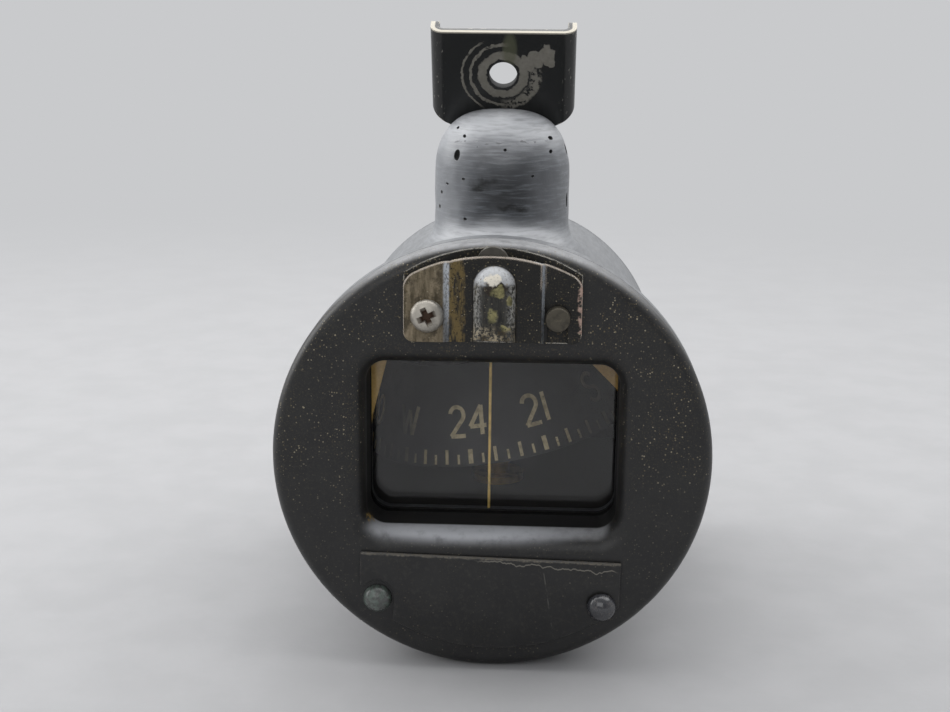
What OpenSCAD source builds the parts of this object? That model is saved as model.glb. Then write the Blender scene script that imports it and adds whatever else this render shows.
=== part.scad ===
// Liquid-filled aircraft compass: a round bezel with a window and a lamp tray,
// a cast case with a hanging neck, and a sheet bracket that holds it up.
// Millimetres. X is to the right, the face looks along -Y and Z is up.
// The origin is the centre of the bracket's hole.

/* [Bezel and window] */
// Diameter of the bezel and of the case flange behind it
bezel_d = 74; // [74:0.5:80]
// Thickness of the bezel plate
bezel_thick = 6; // [5.6:0.1:8]
// Rounding of the bezel's front rim
bezel_edge_r = 2.2; // [0.8:0.1:3]
// Width of the window opening
window_w = 42.5; // [36:0.5:43.5]
// Height of the window opening
window_h = 28.9; // [24:0.5:29.4]
// Corner radius of the window opening
window_corner_r = 3.4; // [2:0.1:5]
// Height of the window's centre above the bezel axis
window_rise = 2; // [1.5:0.1:2.5]
// Width that the sloped rim adds around the window on each side
funnel_side = 3.3; // [1.5:0.1:3.8]
// Height that the sloped rim adds above and below the window
funnel_end = 4.1; // [1.5:0.1:4.2]
// Depth of the sloped rim
funnel_depth = 4; // [2:0.1:4.5]
// Depth from the face to the front of the glass
glass_depth = 10.8; // [10:0.1:12]
// Thickness of the glass
glass_thick = 2.2; // [1.5:0.1:3]
// Thickness of the gaskets in front of and behind the glass
gasket_thick = 0.9; // [0.6:0.1:1.2]
// Width of the gasket's seat around the window
seat_w = 3; // [2.4:0.1:3.2]

/* [Case] */
// Distance from the face to the card's upright axis
axis_depth = 44; // [44:0.5:48]
// Inside radius of the liquid chamber
chamber_r = 30; // [29.5:0.1:30.4]
// Wall of the barrel
barrel_wall = 2.6; // [2.2:0.1:2.6]
// Thickness of the case flange
flange_thick = 3.5; // [3:0.1:5]
// Thickness of the ledge behind the glass
ledge_thick = 1.5; // [1:0.1:1.8]
// Height of the chamber floor, below the bezel axis
floor_drop = 16.5; // [16:0.1:16.6]
// Thickness of the chamber floor
floor_thick = 2; // [1.8:0.1:2.1]
// Distance from the card's axis to the chamber's rear wall
chamber_back = 28.5; // [28:0.5:34]
// Thickness of the chamber's rear wall
rear_wall = 2.2; // [1.5:0.1:3]
// Number of screws round the flange and round the rear cover
ring_screws = 6; // [4:2:8]
// Circle radius of the flange screws
flange_screw_circle = 34.75; // [34.6:0.05:34.9]
// Thickness of the rear cover
rear_cover_thick = 2.2; // [1.6:0.1:3]
// Depth of the diaphragm's space
diaphragm_space = 1.3; // [1:0.1:2.5]
// Thickness of the diaphragm
diaphragm_thick = 0.4; // [0.2:0.1:0.6]

/* [Neck and bracket] */
// Radius of the neck and of its round top
neck_r = 12.7; // [12:0.1:14]
// Distance of the neck's axis behind the card's axis
neck_back = 1.5; // [0:0.5:4]
// Height of the round top's centre
neck_centre_z = 42.6; // [42:0.2:50]
// Radius of the flare at the neck's foot
neck_flare_r = 20.8; // [16:0.2:22]
// Lean of the bracket towards the face, in degrees
bracket_lean = 24; // [15:1:32]
// Distance of the bracket's seat behind the round top's centre
bracket_seat = 5; // [4:0.2:7]
// Thickness of the bracket's sheet
bracket_sheet = 1.6; // [1:0.1:2]
// Width of the bracket's head
bracket_w = 26.8; // [24:0.2:30]
// Depth of the bracket's bent sides
bracket_flange = 4.5; // [3.5:0.1:8]
// Outside radius of the bracket's bends
bracket_bend_r = 2.5; // [2:0.1:3]
// Width of the bracket's tongue on the neck
tongue_w = 19; // [14:0.5:20]
// Distance from the round top's centre up to the bracket's hole
hole_up = 18.6; // [17.8:0.1:19]
// Diameter of the bracket's hole
hole_d = 5.2; // [4:0.1:6]
// Distance from the hole up to the bracket's top edge
hole_to_top = 8.5; // [6:0.1:12]

/* [Lamp tray] */
// Width of the lamp tray
tray_w = 29; // [28:0.2:31]
// Height of the tray's lower edge above the bezel axis
tray_bottom = 20.9; // [20.7:0.1:21.2]
// Height of the tray's arched top above the bezel axis
tray_top = 36; // [35.5:0.1:36.4]
// Radius of the tray's arched top
tray_arch_r = 26; // [24:0.5:30]
// Thickness of the tray's sheet
tray_sheet = 0.7; // [0.5:0.1:0.9]
// Thickness of the plate between the tray and the bezel
back_plate = 0.8; // [0.5:0.1:1]
// Width of the tray's raised middle
tray_raised_w = 15.4; // [13:0.2:16]
// How far the middle is raised
tray_raise = 1.5; // [1.3:0.1:2.2]
// Radius of the lamp's hump
hump_r = 3.55; // [3.4:0.05:4]
// Height of the tray's screws above the bezel axis
tray_screw_z = 25.3; // [24.5:0.1:26]
// Distance between the tray's screws
tray_screw_span = 21.2; // [21:0.1:22]
// Width of the slot under the tray's right-hand screw
tray_slot_w = 3.4; // [3.2:0.1:3.6]

/* [Compensator] */
// Width of the compensator's cover
cover_w = 44.2; // [43:0.2:45]
// Height of the cover's top edge, below the bezel axis
cover_top = 17; // [16.9:0.1:17.4]
// Distance of the cover's arched lower edge beyond its screws
cover_edge = 2.06; // [1.9:0.02:2.8]
// Thickness of the cover
cover_thick = 1; // [0.6:0.1:1.4]
// How far the cover is swung open at rest, in degrees
cover_rest = 1.2; // [0:0.1:1.5]
// Distance of the cover's screws from its ends
cover_screw_inset = 3; // [2.8:0.1:3.2]
// Distance of the cover's screws below the bezel axis
cover_screw_drop = 24.6; // [24.4:0.1:24.8]
// Distance of the access opening's ends from the cover's screws
access_screw_gap = 3.1; // [2.8:0.1:3.4]
// Height of the access opening
access_h = 7.3; // [7:0.1:7.4]
// Distance of the adjusters from the middle
adjuster_x = 7.5; // [7.2:0.1:7.8]
// Distance of the adjusters below the bezel axis
adjuster_drop = 22; // [21.9:0.05:22.1]
// Module of the spur gears
gear_module = 0.4; // [0.36:0.02:0.4]
// Teeth of each spur gear
gear_teeth = 12; // [8:4:12]
// Radius of the pin circle on the crown wheel
crown_r = 2.5; // [2.4:0.05:2.6]
// Pins of the crown wheel, twice the teeth of its pinion
crown_pins = 16; // [16:8:16]

/* [Card] */
// Gap between the card's lower edge and the chamber's wall
card_gap = 3.1; // [3:0.1:6]
// Gap between the card's lower edge and the lubber line
card_front_gap = 2.2; // [2.1:0.1:5]
// Radius of the card's upper edge
card_top_r = 20; // [17:0.1:21]
// Height of the card
card_h = 17; // [12:0.5:18]
// Thickness of the card's sheet
card_sheet = 0.5; // [0.3:0.05:0.8]
// Height of the card's lower edge below its pivot
card_drop = 4.1; // [3:0.1:4.6]
// Height of the pivot above the bezel axis
pivot_z = 1; // [0:0.1:2]
// Pitch of the card at rest, front down, in degrees
card_pitch = 4.9; // [0:0.1:12]
// Roll of the card at rest, right side up, in degrees
card_roll = 10.8; // [0:0.1:12]
// Heading under the lubber line at rest, in degrees
card_heading = 231; // [0:1:359]
// Diameter of the lubber line's wire
lubber_d = 0.5; // [0.3:0.05:0.8]
// Place of the lubber line to the right of the middle
lubber_x = -0.7; // [-1:0.1:1]

/* [Fits] */
// Play between pieces that are put together
play = 0.2; // [0.1:0.05:0.3]
// Play of a running shaft, on the radius
running_play = 0.05; // [0.03:0.01:0.08]
// Play of a screw in a clearance hole, on the radius
screw_play = 0.15; // [0.1:0.05:0.25]
// Radius of the thread of the tray and cover screws
small_screw_r = 1.35; // [1.2:0.05:1.5]
// Radius of the thread of the flange and rear cover screws
ring_screw_r = 0.95; // [0.8:0.05:1.1]

/* [Hidden] */
$fn = 72;
over = 0.5;
overlap = 0.1;
slice = 0.02;

// Planes along Y, from the face backwards
face_y = -axis_depth;
bezel_back = face_y + bezel_thick;
glass_front = face_y + glass_depth;
glass_back = glass_front + glass_thick;
ledge_front = glass_back + gasket_thick;
ledge_back = ledge_front + ledge_thick;
flange_back = bezel_back + flange_thick;
boss_back = glass_front - gasket_thick;
rear_face = chamber_back + rear_wall;
diaphragm_front = rear_face + diaphragm_space;
rear_lip = 2;
case_back = diaphragm_front + diaphragm_thick + rear_lip;
barrel_r = chamber_r + barrel_wall;

// Glass and its seat
glass_w = window_w + 2 * seat_w;
glass_h = window_h + 2 * seat_w;
glass_corner_r = window_corner_r + seat_w;
recess_w = glass_w + 2 * play;
recess_h = glass_h + 2 * play;
recess_corner_r = glass_corner_r + play;

// Flange and rear cover screws
ring_head_r = 1.7;
ring_head_h = 1.3;
ring_head_inset = 0.1;
ring_screw_bite = 3.2;
ring_hole_spare = 0.4;
rear_screw_bite = 4;
rear_screw_circle = barrel_r - ring_head_r - ring_head_inset;
rear_seat_land = 0.7;
rear_seat_r = rear_screw_circle - ring_screw_r - rear_seat_land;
clamp_w = 3;
vent_r = 3;
breather_r = 0.8;
fold_inset = 7;
fold_bead_r = 0.9;
diaphragm_r = rear_seat_r - play;

// Filler plug behind the neck
filler_y = 24;
filler_boss_r = 4.6;
filler_boss_rise = 1.6;
filler_boss_top = barrel_r + filler_boss_rise;
filler_thread_r = 2.2;
filler_seal_thick = 0.6;
filler_head_r = 3.6;
filler_head_h = 1.8;
filler_thread_len = 4.5;

// Neck, and the bracket in a leaning frame whose Y leaves the neck and whose Z runs up the sheet
neck_top = [0, neck_back, neck_centre_z];
flare_sink = 0.8;
flare_root = 2;
flare_z = sqrt(pow(barrel_r + neck_flare_r, 2) - pow(neck_r + neck_flare_r, 2)) - flare_sink;
flare_foot_r = barrel_r * (neck_r + neck_flare_r) / (barrel_r + neck_flare_r);
flare_low = sqrt(barrel_r * barrel_r - flare_foot_r * flare_foot_r) - flare_root;
tongue_drop = 9;
tongue_corner = 3;
head_up = 13;
trim_drop = 4.2;
bracket_screw_ups = [3.5, -4.5];
bracket_screw_r = 1.75;
bracket_head_r = 3.1;
bracket_head_h = 1.9;
bracket_washer_r = 3.3;
bracket_washer_thick = 0.7;
bracket_screw_depth = 8;
bracket_hole_spare = 0.4;
least_bend_r = 0.3;
origin_y = neck_back + bracket_seat * cos(bracket_lean) - hole_up * sin(bracket_lean);
origin_z = neck_centre_z + bracket_seat * sin(bracket_lean) + hole_up * cos(bracket_lean);

// Lamp and tray
hump_stand = 1.1;
hump_axis = back_plate + tray_sheet + hump_stand;
hump_dome_z = 30.6;
lamp_r = 1.5;
lamp_socket_r = 1.95;
lamp_socket_low = 28;
insulator_r = 2.6;
insulator_z = 34.2;
insulator_play = 0.1;
lamp_socket_rise = 0.9;
lamp_socket_bore = 2.4;
lamp_out = 2.2;
lamp_len = 4.4;
tray_corner_r = 1.6;
back_plate_proud = 0.5;

// Screw heads on the face
pan_head_r = 2.75;
pan_head_h = 1.7;
fillister_r = 2;
fillister_h = 2;
cover_head_r = 2.45;
cover_head_h = 1.9;
pan_edge_r = 0.8;
cross_arm = 1.45;
cross_w = 0.75;
cross_depth = 1.1;
cross_turn = 20;
slot_share = 0.28;
slot_depth_share = 0.45;
screw_floor = 1.2;
face_hole_spare = 0.3;
face_screw_depth = bezel_thick - screw_floor;

// Cover and access
cover_gap = 0.1;
cover_washer_thick = 0.3;
cover_washer_gap = 0.05;
cover_washer_inset = 0.2;
cover_notch_play = 0.35;
cover_notch_r = cover_head_r + cover_notch_play;
cover_notch_rise = 1.8;
cover_pivot_x = cover_w / 2 - cover_screw_inset;
cover_arch_r = norm([cover_pivot_x, cover_screw_drop]) + cover_edge;
access_w = 2 * (cover_pivot_x - access_screw_gap);
access_inset = 2;
access_corner_r = 1.5;
access_z = -(cover_top + access_h / 2 + access_inset);
cover_front = face_y - cover_gap - cover_thick;

// Compensator
adjuster_z = -adjuster_drop;
ear_w = 4;
bay_w = access_w - 2 * ear_w;
bay_back = 26;
bay_inset = 0.6;
bay_r = chamber_r - bay_inset;
bay_top = -(floor_drop + floor_thick);
frame_top = bay_top - play;
frame_low = access_z - access_h / 2;
frame_w = bay_w - 2 * play;
frame_plate = 1.3;
frame_base = 0.8;
frame_front = bezel_back + play;
frame_bay = 11;
frame_mid = frame_front + frame_bay;
frame_rear = frame_mid + frame_bay;
frame_ear_x = (access_w - ear_w) / 2;
ear_screw_bite = 3;
ear_hole_spare = 0.2;
ear_screw_r = 0.7;
ear_head_r = 1.3;
ear_head_h = 0.7;
spindle_r = 1;
spindle_tail_r = 0.7;
adjuster_head_r = 2.2;
adjuster_head_h = 1.2;
adjuster_slot_w = 0.7;
adjuster_slot_depth = 0.7;
end_play = 0.4;
head_play = 0.1;
pitch_r = gear_module * gear_teeth / 2;
gear_backlash = 0.07;
gear_gap = 0.1;
gear_width = 1.8;
gear_addendum = 0.85;
gear_dedendum = 1.2;
gear_root_sink = 0.2;
gear_root_share = 1.35;
gear_tip_share = 0.55;
magnet_r = 0.8;
ew_idler_x = adjuster_x - 2 * pitch_r - gear_gap;
ew_gear_y = frame_front + frame_plate + end_play;
collar_r = 1.8;
collar_len = 3;
ew_collar_y = ew_gear_y + gear_width + end_play;
ew_magnet_y = ew_collar_y + collar_len / 2;
ew_magnet_len = 4.4;
pinion_teeth = crown_pins / 2;
pinion_pitch_r = crown_r / 2;
pinion_root_r = 0.62;
pinion_addendum = 0.35;
pinion_tip_r = pinion_pitch_r + pinion_addendum;
pinion_tooth = 0.3;
pinion_len = 2.4;
pin_r = 0.17;
pinion_stand_off = 0.6;
pinion_y = frame_mid + frame_plate + pinion_stand_off;
crown_y = pinion_y + pinion_len / 2 + crown_r;
crown_disc_thick = 0.8;
crown_rim = 0.45;
crown_tip_play = 0.15;
crown_pin_depth = 0.2;
crown_disc_x = -adjuster_x + pinion_tip_r + crown_tip_play;
crown_tip_x = -adjuster_x + pinion_pitch_r - crown_pin_depth;
crown_end_x = 8;
crown_lug = 1.2;
crown_lug_half = 1.6;
crown_lug_low = 0.5;
ns_magnet_x = 1.5;
ns_magnet_len = 4.8;

// Pivot, card and their places
stand_base_r = 5;
stand_r = 2.3;
post_r = 1.2;
cup_r = 2.1;
cup_h = 3.6;
ball_r = 0.35;
jewel_r = 1.1;
jewel_thick = 0.9;
jewel_floor = 0.5;
jewel_rim = 0.1;
jewel_seat = pivot_z - ball_r - jewel_floor;
cup_floor = 1.6;
cup_lip = 0.15;
cup_low = jewel_seat - cup_floor;
post_len = 8;
post_bottom_play = 1;
spring_space = 3;
spring_gap = 0.05;
stand_top = cup_low - spring_space;
stand_base_h = 1.4;
stand_spigot = 1.1;
stand_spigot_play = 0.1;
spring_wire_r = 0.15;
spring_r = 1.7;
spring_turns = 4;
needle_r = 0.6;
needle_gap = 0.1;
needle_point_r = 0.2;
needle_cone = 2.6;
needle_head_r = 1;
needle_head_h = 0.85;
needle_head_gap = 0.05;
web_low = 1;
web_thick = 0.5;
web_hole_r = 5;
hub_r = 7;
hub_wall_r = 5;
hub_bore_r = 4.2;
hub_top = 6.5;
hub_cap = 1.2;
hub_flange = 0.8;
float_r = 16;
float_hole_r = 8;
float_h = 5;
magnet_bar = [3, 34, 2.4];
magnet_x = 8;
lubber_y = ledge_front + ledge_thick / 2;
card_r = min(chamber_r - card_gap, -(lubber_y + lubber_d / 2) - card_front_gap);
card_slope = (card_r - card_top_r) / card_h;
lubber_grip = 2;

// Places the whole object with the bracket's hole at the origin
module place() {
  translate([0, -origin_y, -origin_z])
    children();
}

// Turns a shape drawn along Z so that it runs along +Y from y
module along_y(y) {
  translate([0, y, 0])
    rotate([-90, 0, 0])
      children();
}

// A straight rod along Y
module rod_y(r, y0, y1, x = 0, z = 0) {
  translate([x, 0, z])
    along_y(y0)
      cylinder(r = r, h = y1 - y0);
}

// A flat outline drawn in X and Z, given thickness along Y
module plate_y(y0, y1) {
  translate([0, y1, 0])
    rotate([90, 0, 0])
      linear_extrude(y1 - y0)
        children();
}

// A box given by its low and high corners
module span(low, high) {
  translate(low)
    cube(high - low);
}

module rounded_rect(w, h, r) {
  square([w - 2 * r, h], center = true);
  square([w, h - 2 * r], center = true);
  for (x = [-1, 1], z = [-1, 1])
    translate([x * (w / 2 - r), z * (h / 2 - r)])
      circle(r);
}

module window_shape(extra = 0) {
  translate([0, window_rise])
    rounded_rect(window_w + 2 * extra, window_h + 2 * extra, window_corner_r + extra);
}

// Places its children round the bezel axis, at the ring screws' angles
module ring_places(circle_r) {
  for (i = [0:ring_screws - 1])
    rotate([0, 30 + i * 360 / ring_screws, 0])
      translate([circle_r, 0, 0])
        children();
}

// The leaning frame of the bracket
module bracket_frame() {
  translate(neck_top)
    rotate([bracket_lean, 0, 0])
      children();
}

// The card's own frame: its pivot is the origin and it is tilted as it rests
module card_frame() {
  translate([0, 0, pivot_z])
    rotate([card_pitch, 0, 0])
      rotate([0, -card_roll, 0])
        children();
}

// The cover's own frame, swung open about its pivot screw
module cover_frame() {
  translate([cover_pivot_x, 0, -cover_screw_drop])
    rotate([0, cover_rest, 0])
      translate([-cover_pivot_x, 0, cover_screw_drop])
        children();
}

module bezel() {
  rim_r = bezel_d / 2;
  flat_r = rim_r - bezel_edge_r;
  color("#2b2c2d")
    difference() {
      union() {
        along_y(face_y)
          rotate_extrude($fn = 180)
            union() {
              square([flat_r, bezel_thick]);
              translate([0, bezel_edge_r])
                square([rim_r, bezel_thick - bezel_edge_r]);
              translate([flat_r, bezel_edge_r])
                circle(bezel_edge_r);
            }
        plate_y(bezel_back - over, boss_back)
          window_shape(seat_w - play);
      }
      plate_y(face_y - over, boss_back + over)
        window_shape();
      hull() {
        plate_y(face_y - slice, face_y)
          translate([0, window_rise])
            rounded_rect(window_w + 2 * funnel_side, window_h + 2 * funnel_end,
                         window_corner_r + funnel_side, $fn = 32);
        plate_y(face_y + funnel_depth - slice, face_y + funnel_depth)
          window_shape($fn = 32);
      }
      plate_y(face_y - over, bezel_back + over)
        translate([0, access_z])
          rounded_rect(access_w, access_h, access_corner_r);
      ring_places(flange_screw_circle)
        rod_y(ring_screw_r, bezel_back - ring_screw_bite - ring_hole_spare, bezel_back + over);
      for (x = [-1, 1]) {
        rod_y(small_screw_r, face_y - over, face_y + face_screw_depth + face_hole_spare,
              x * tray_screw_span / 2, tray_screw_z);
        rod_y(small_screw_r, face_y - over, face_y + face_screw_depth + face_hole_spare,
              x * cover_pivot_x, -cover_screw_drop);
      }
    }
}

module gasket(y) {
  plate_y(y, y + gasket_thick)
    difference() {
      window_shape(seat_w);
      window_shape(play);
    }
}

module front_gasket() {
  color("#1c1c1c")
    gasket(boss_back);
}

module rear_gasket() {
  color("#1c1c1c")
    gasket(glass_back);
}

module window_glass() {
  color("#c8d4d8", 0.4)
    plate_y(glass_front, glass_back)
      window_shape(seat_w);
}

// Half outline of the neck: flared foot, straight stem and round top
module neck_profile() {
  difference() {
    translate([0, flare_low])
      square([flare_foot_r, flare_z - flare_low]);
    translate([neck_r + neck_flare_r, flare_z])
      circle(neck_flare_r, $fn = 180);
  }
  translate([0, flare_low])
    square([neck_r, neck_centre_z - flare_low]);
  intersection() {
    translate([0, neck_centre_z])
      circle(neck_r, $fn = 120);
    translate([0, neck_centre_z])
      square(neck_r);
  }
}

// Neck, cut flat for the bracket
module neck() {
  difference() {
    translate([0, neck_back, 0])
      rotate_extrude($fn = 120)
        neck_profile();
    bracket_frame()
      span([-2 * neck_r, bracket_seat, -tongue_drop - play], [2 * neck_r, 3 * neck_r, 2 * neck_r]);
  }
}

module case_shell() {
  along_y(bezel_back) {
    cylinder(r = bezel_d / 2, h = flange_thick, $fn = 180);
    cylinder(r = barrel_r, h = case_back - bezel_back, $fn = 180);
  }
  neck();
  translate([0, filler_y, barrel_r / 2])
    cylinder(r = filler_boss_r, h = filler_boss_top - barrel_r / 2);
}

module case_body() {
  color("#3f4245")
    difference() {
      case_shell();
      // Liquid chamber above its floor
      intersection() {
        rod_y(chamber_r, ledge_back, chamber_back);
        span([-chamber_r, ledge_back - over, -floor_drop], [chamber_r, chamber_back + over, chamber_r]);
      }
      // Seat of the glass and the opening behind it
      plate_y(bezel_back - over, ledge_front)
        translate([0, window_rise])
          rounded_rect(recess_w, recess_h, recess_corner_r);
      plate_y(ledge_front - over, ledge_back + over)
        window_shape(play);
      // Compensator bay below the floor, open at the front
      intersection() {
        rod_y(bay_r, ledge_back, bay_back);
        span([-bay_r, ledge_back - over, -bay_r], [bay_r, bay_back + over, bay_top]);
      }
      span([-bay_w / 2, bezel_back - over, frame_low - play], [bay_w / 2, ledge_back + over, bay_top]);
      span([-access_w / 2, bezel_back - over, frame_low - play],
           [access_w / 2, frame_front + frame_plate, bay_top]);
      for (x = [-1, 1])
        rod_y(ear_screw_r, frame_front, frame_front + frame_plate + ear_screw_bite + ear_hole_spare,
              x * frame_ear_x, adjuster_z);
      // Screw holes of the flange and of the rear cover
      ring_places(flange_screw_circle)
        rod_y(ring_screw_r + screw_play, bezel_back - over, flange_back + over);
      ring_places(rear_screw_circle)
        rod_y(ring_screw_r, case_back - rear_screw_bite - ring_hole_spare, case_back + over);
      // Rear wall, diaphragm space and its seat
      rod_y(vent_r, chamber_back - over, rear_face + over);
      rod_y(rear_seat_r - clamp_w, rear_face, case_back + over);
      rod_y(rear_seat_r, diaphragm_front, case_back + over);
      // Filler hole, bracket screws, lubber line and pivot stand
      translate([0, filler_y, 0])
        cylinder(r = filler_thread_r, h = filler_boss_top + over);
      for (up = bracket_screw_ups)
        bracket_frame()
          translate([0, 0, up])
            rod_y(bracket_screw_r, bracket_seat - bracket_screw_depth - bracket_hole_spare,
                  bracket_seat + over);
      translate([lubber_x, lubber_y, window_rise - window_h / 2 - lubber_grip])
        cylinder(d = lubber_d, h = window_h + 2 * lubber_grip, $fn = 24);
      translate([0, 0, -floor_drop - stand_spigot - stand_spigot_play])
        cylinder(r = stand_r, h = stand_spigot + stand_spigot_play + over);
    }
}

// A cheese head screw along +Y from under its head, with a slot across the head
module slotted_screw(head_r, head_h, thread_r, length) {
  slot_w = head_r * slot_share;
  difference() {
    union() {
      rod_y(head_r, -head_h, 0);
      rod_y(thread_r, -overlap, length);
    }
    span([-head_r - over, -head_h - over, -slot_w / 2],
         [head_r + over, -head_h * (1 - slot_depth_share), slot_w / 2]);
  }
}

module case_screws() {
  color("#8a8c8e")
    ring_places(flange_screw_circle)
      translate([0, flange_back, 0])
        rotate([0, 0, 180])
          slotted_screw(ring_head_r, ring_head_h, ring_screw_r, flange_thick + ring_screw_bite);
}

module lubber_line() {
  color("#c9a24a")
    translate([lubber_x, lubber_y, window_rise - window_h / 2 - lubber_grip])
      cylinder(d = lubber_d, h = window_h + 2 * lubber_grip, $fn = 24);
}

// Brass stand screwed into the chamber floor, bored for the jewel post
module pivot_stand() {
  color("#b08d4a")
    difference() {
      union() {
        translate([0, 0, -floor_drop])
          cylinder(r = stand_base_r, h = stand_base_h);
        translate([0, 0, -floor_drop - stand_spigot])
          cylinder(r = stand_r, h = stand_top + floor_drop + stand_spigot);
      }
      translate([0, 0, cup_low - post_len - post_bottom_play])
        cylinder(r = post_r + running_play, h = post_len + post_bottom_play + over);
    }
}

module jewel_post() {
  color("#c2a15c")
    difference() {
      union() {
        translate([0, 0, cup_low - post_len])
          cylinder(r = post_r, h = post_len + over);
        translate([0, 0, cup_low])
          cylinder(r = cup_r, h = cup_h);
      }
      translate([0, 0, jewel_seat])
        cylinder(r = jewel_r, h = cup_h);
      translate([0, 0, jewel_seat + jewel_thick])
        cylinder(r1 = jewel_r, r2 = cup_r - cup_lip, h = cup_low + cup_h - jewel_seat - jewel_thick);
    }
}

module jewel() {
  color("#b8325a")
    difference() {
      translate([0, 0, jewel_seat])
        cylinder(r = jewel_r, h = jewel_thick);
      translate([0, 0, pivot_z])
        sphere(ball_r + running_play, $fn = 32);
      translate([0, 0, pivot_z - overlap])
        cylinder(r1 = ball_r + running_play, r2 = jewel_r - jewel_rim, h = jewel_thick);
    }
}

// Coil of round wire, swept along a helix as one closed skin
module pivot_spring() {
  sides = 6;
  steps = 12;
  rings = spring_turns * steps;
  low = stand_top + spring_wire_r + spring_gap;
  rise = cup_low - spring_gap - spring_wire_r - low;
  points = [
    for (i = [0:rings], k = [0:sides - 1])
      let (a = i * 360 / steps, b = k * 360 / sides, r = spring_r + spring_wire_r * cos(b))
        [r * cos(a), r * sin(a), low + rise * i / rings + spring_wire_r * sin(b)]
  ];
  skin = [
    for (i = [0:rings - 1], k = [0:sides - 1])
      let (a = i * sides + k, b = i * sides + (k + 1) % sides)
        each [[a, a + sides, b], [b, a + sides, b + sides]]
  ];
  start = [for (k = [1:sides - 2]) [0, k, k + 1]];
  end = [for (k = [1:sides - 2]) [rings * sides, rings * sides + k + 1, rings * sides + k]];
  color("#9a9c9e")
    polyhedron(points, concat(start, skin, end));
}

module pivot_ball() {
  color("#d8d8d8")
    translate([0, 0, pivot_z])
      sphere(ball_r, $fn = 32);
}

module pivot_needle() {
  point = ball_r + needle_gap;
  head = hub_top + needle_head_gap;
  color("#bfc1c4")
    card_frame()
      rotate_extrude()
        polygon([[0, point], [needle_point_r, point], [needle_r, needle_cone], [needle_r, head],
                 [needle_head_r, head], [needle_head_r, head + needle_head_h], [0, head + needle_head_h]]);
}

module card_hub() {
  web_top = web_low + web_thick;
  color("#9d9fa2")
    card_frame()
      rotate_extrude()
        difference() {
          union() {
            translate([0, web_top])
              square([hub_r, hub_flange]);
            translate([0, web_top])
              square([hub_wall_r, hub_top - web_top]);
          }
          square([hub_bore_r, hub_top - hub_cap]);
          square([needle_r + running_play, hub_top + over]);
        }
}

// Conical card with a flat web inside, its rim marked in degrees on the outside
module compass_card() {
  inner_web_r = card_r - card_sheet / 2 - card_slope * (web_low + card_drop);
  top = card_h - card_drop;
  color("#161616")
    card_frame()
      rotate_extrude($fn = 120) {
        polygon([[card_r - card_sheet, -card_drop], [card_r, -card_drop], [card_top_r, top],
                 [card_top_r - card_sheet, top]]);
        translate([web_hole_r, web_low])
          square([inner_web_r - web_hole_r, web_thick]);
      }
}

module card_float() {
  color("#3a3a3a")
    card_frame()
      translate([0, 0, web_low + web_thick])
        difference() {
          cylinder(r = float_r, h = float_h);
          translate([0, 0, -over])
            cylinder(r = float_hole_r, h = float_h + 2 * over);
        }
}

// Two bar magnets under the web, lying along the card's north
module card_magnets() {
  color("#5d6063")
    card_frame()
      rotate([0, 0, card_heading])
        for (x = [-1, 1])
          translate([x * magnet_x, 0, web_low - magnet_bar[2] / 2])
            cube(magnet_bar, center = true);
}

// Thin disc with one round fold, clamped at its edge
module diaphragm() {
  fold_r = rear_seat_r - fold_inset;
  color("#a8894e")
    along_y(diaphragm_front)
      rotate_extrude($fn = 120)
        difference() {
          union() {
            square([diaphragm_r, diaphragm_thick]);
            translate([fold_r, diaphragm_thick])
              circle(fold_bead_r, $fn = 32);
          }
          translate([fold_r, diaphragm_thick])
            circle(fold_bead_r - diaphragm_thick, $fn = 32);
          translate([0, -fold_bead_r])
            square([diaphragm_r, fold_bead_r]);
        }
}

module rear_cover() {
  clamp_front = diaphragm_front + diaphragm_thick;
  color("#3f4245")
    difference() {
      union() {
        rod_y(barrel_r, case_back, case_back + rear_cover_thick);
        rod_y(diaphragm_r, clamp_front, case_back + over);
      }
      rod_y(rear_seat_r - clamp_w, clamp_front - over, case_back);
      rod_y(breather_r, clamp_front - over, case_back + rear_cover_thick + over);
      ring_places(rear_screw_circle)
        rod_y(ring_screw_r + screw_play, case_back - over, case_back + rear_cover_thick + over);
    }
}

module rear_cover_screws() {
  color("#8a8c8e")
    ring_places(rear_screw_circle)
      translate([0, case_back + rear_cover_thick, 0])
        rotate([0, 0, 180])
          slotted_screw(ring_head_r, ring_head_h, ring_screw_r, rear_cover_thick + rear_screw_bite);
}

module filler_seal() {
  color("#6e2a22")
    translate([0, filler_y, filler_boss_top])
      difference() {
        cylinder(r = filler_head_r, h = filler_seal_thick);
        translate([0, 0, -over])
          cylinder(r = filler_thread_r + screw_play, h = filler_seal_thick + 2 * over);
      }
}

module filler_plug() {
  color("#9a8a5e")
    translate([0, filler_y, filler_boss_top + filler_seal_thick])
      rotate([-90, 0, 0])
        slotted_screw(filler_head_r, filler_head_h, filler_thread_r, filler_thread_len);
}

// Outline of the bracket's sheet, seen square to it
module bracket_outline() {
  half = bracket_w / 2;
  tongue = tongue_w / 2;
  top = hole_up + hole_to_top;
  polygon([[-tongue, -tongue_drop + tongue_corner], [-tongue, head_up - trim_drop], [-half, head_up],
           [-half, top], [half, top], [half, head_up], [tongue, head_up - trim_drop],
           [tongue, -tongue_drop + tongue_corner], [tongue - tongue_corner, -tongue_drop],
           [tongue_corner - tongue, -tongue_drop]]);
}

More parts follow.
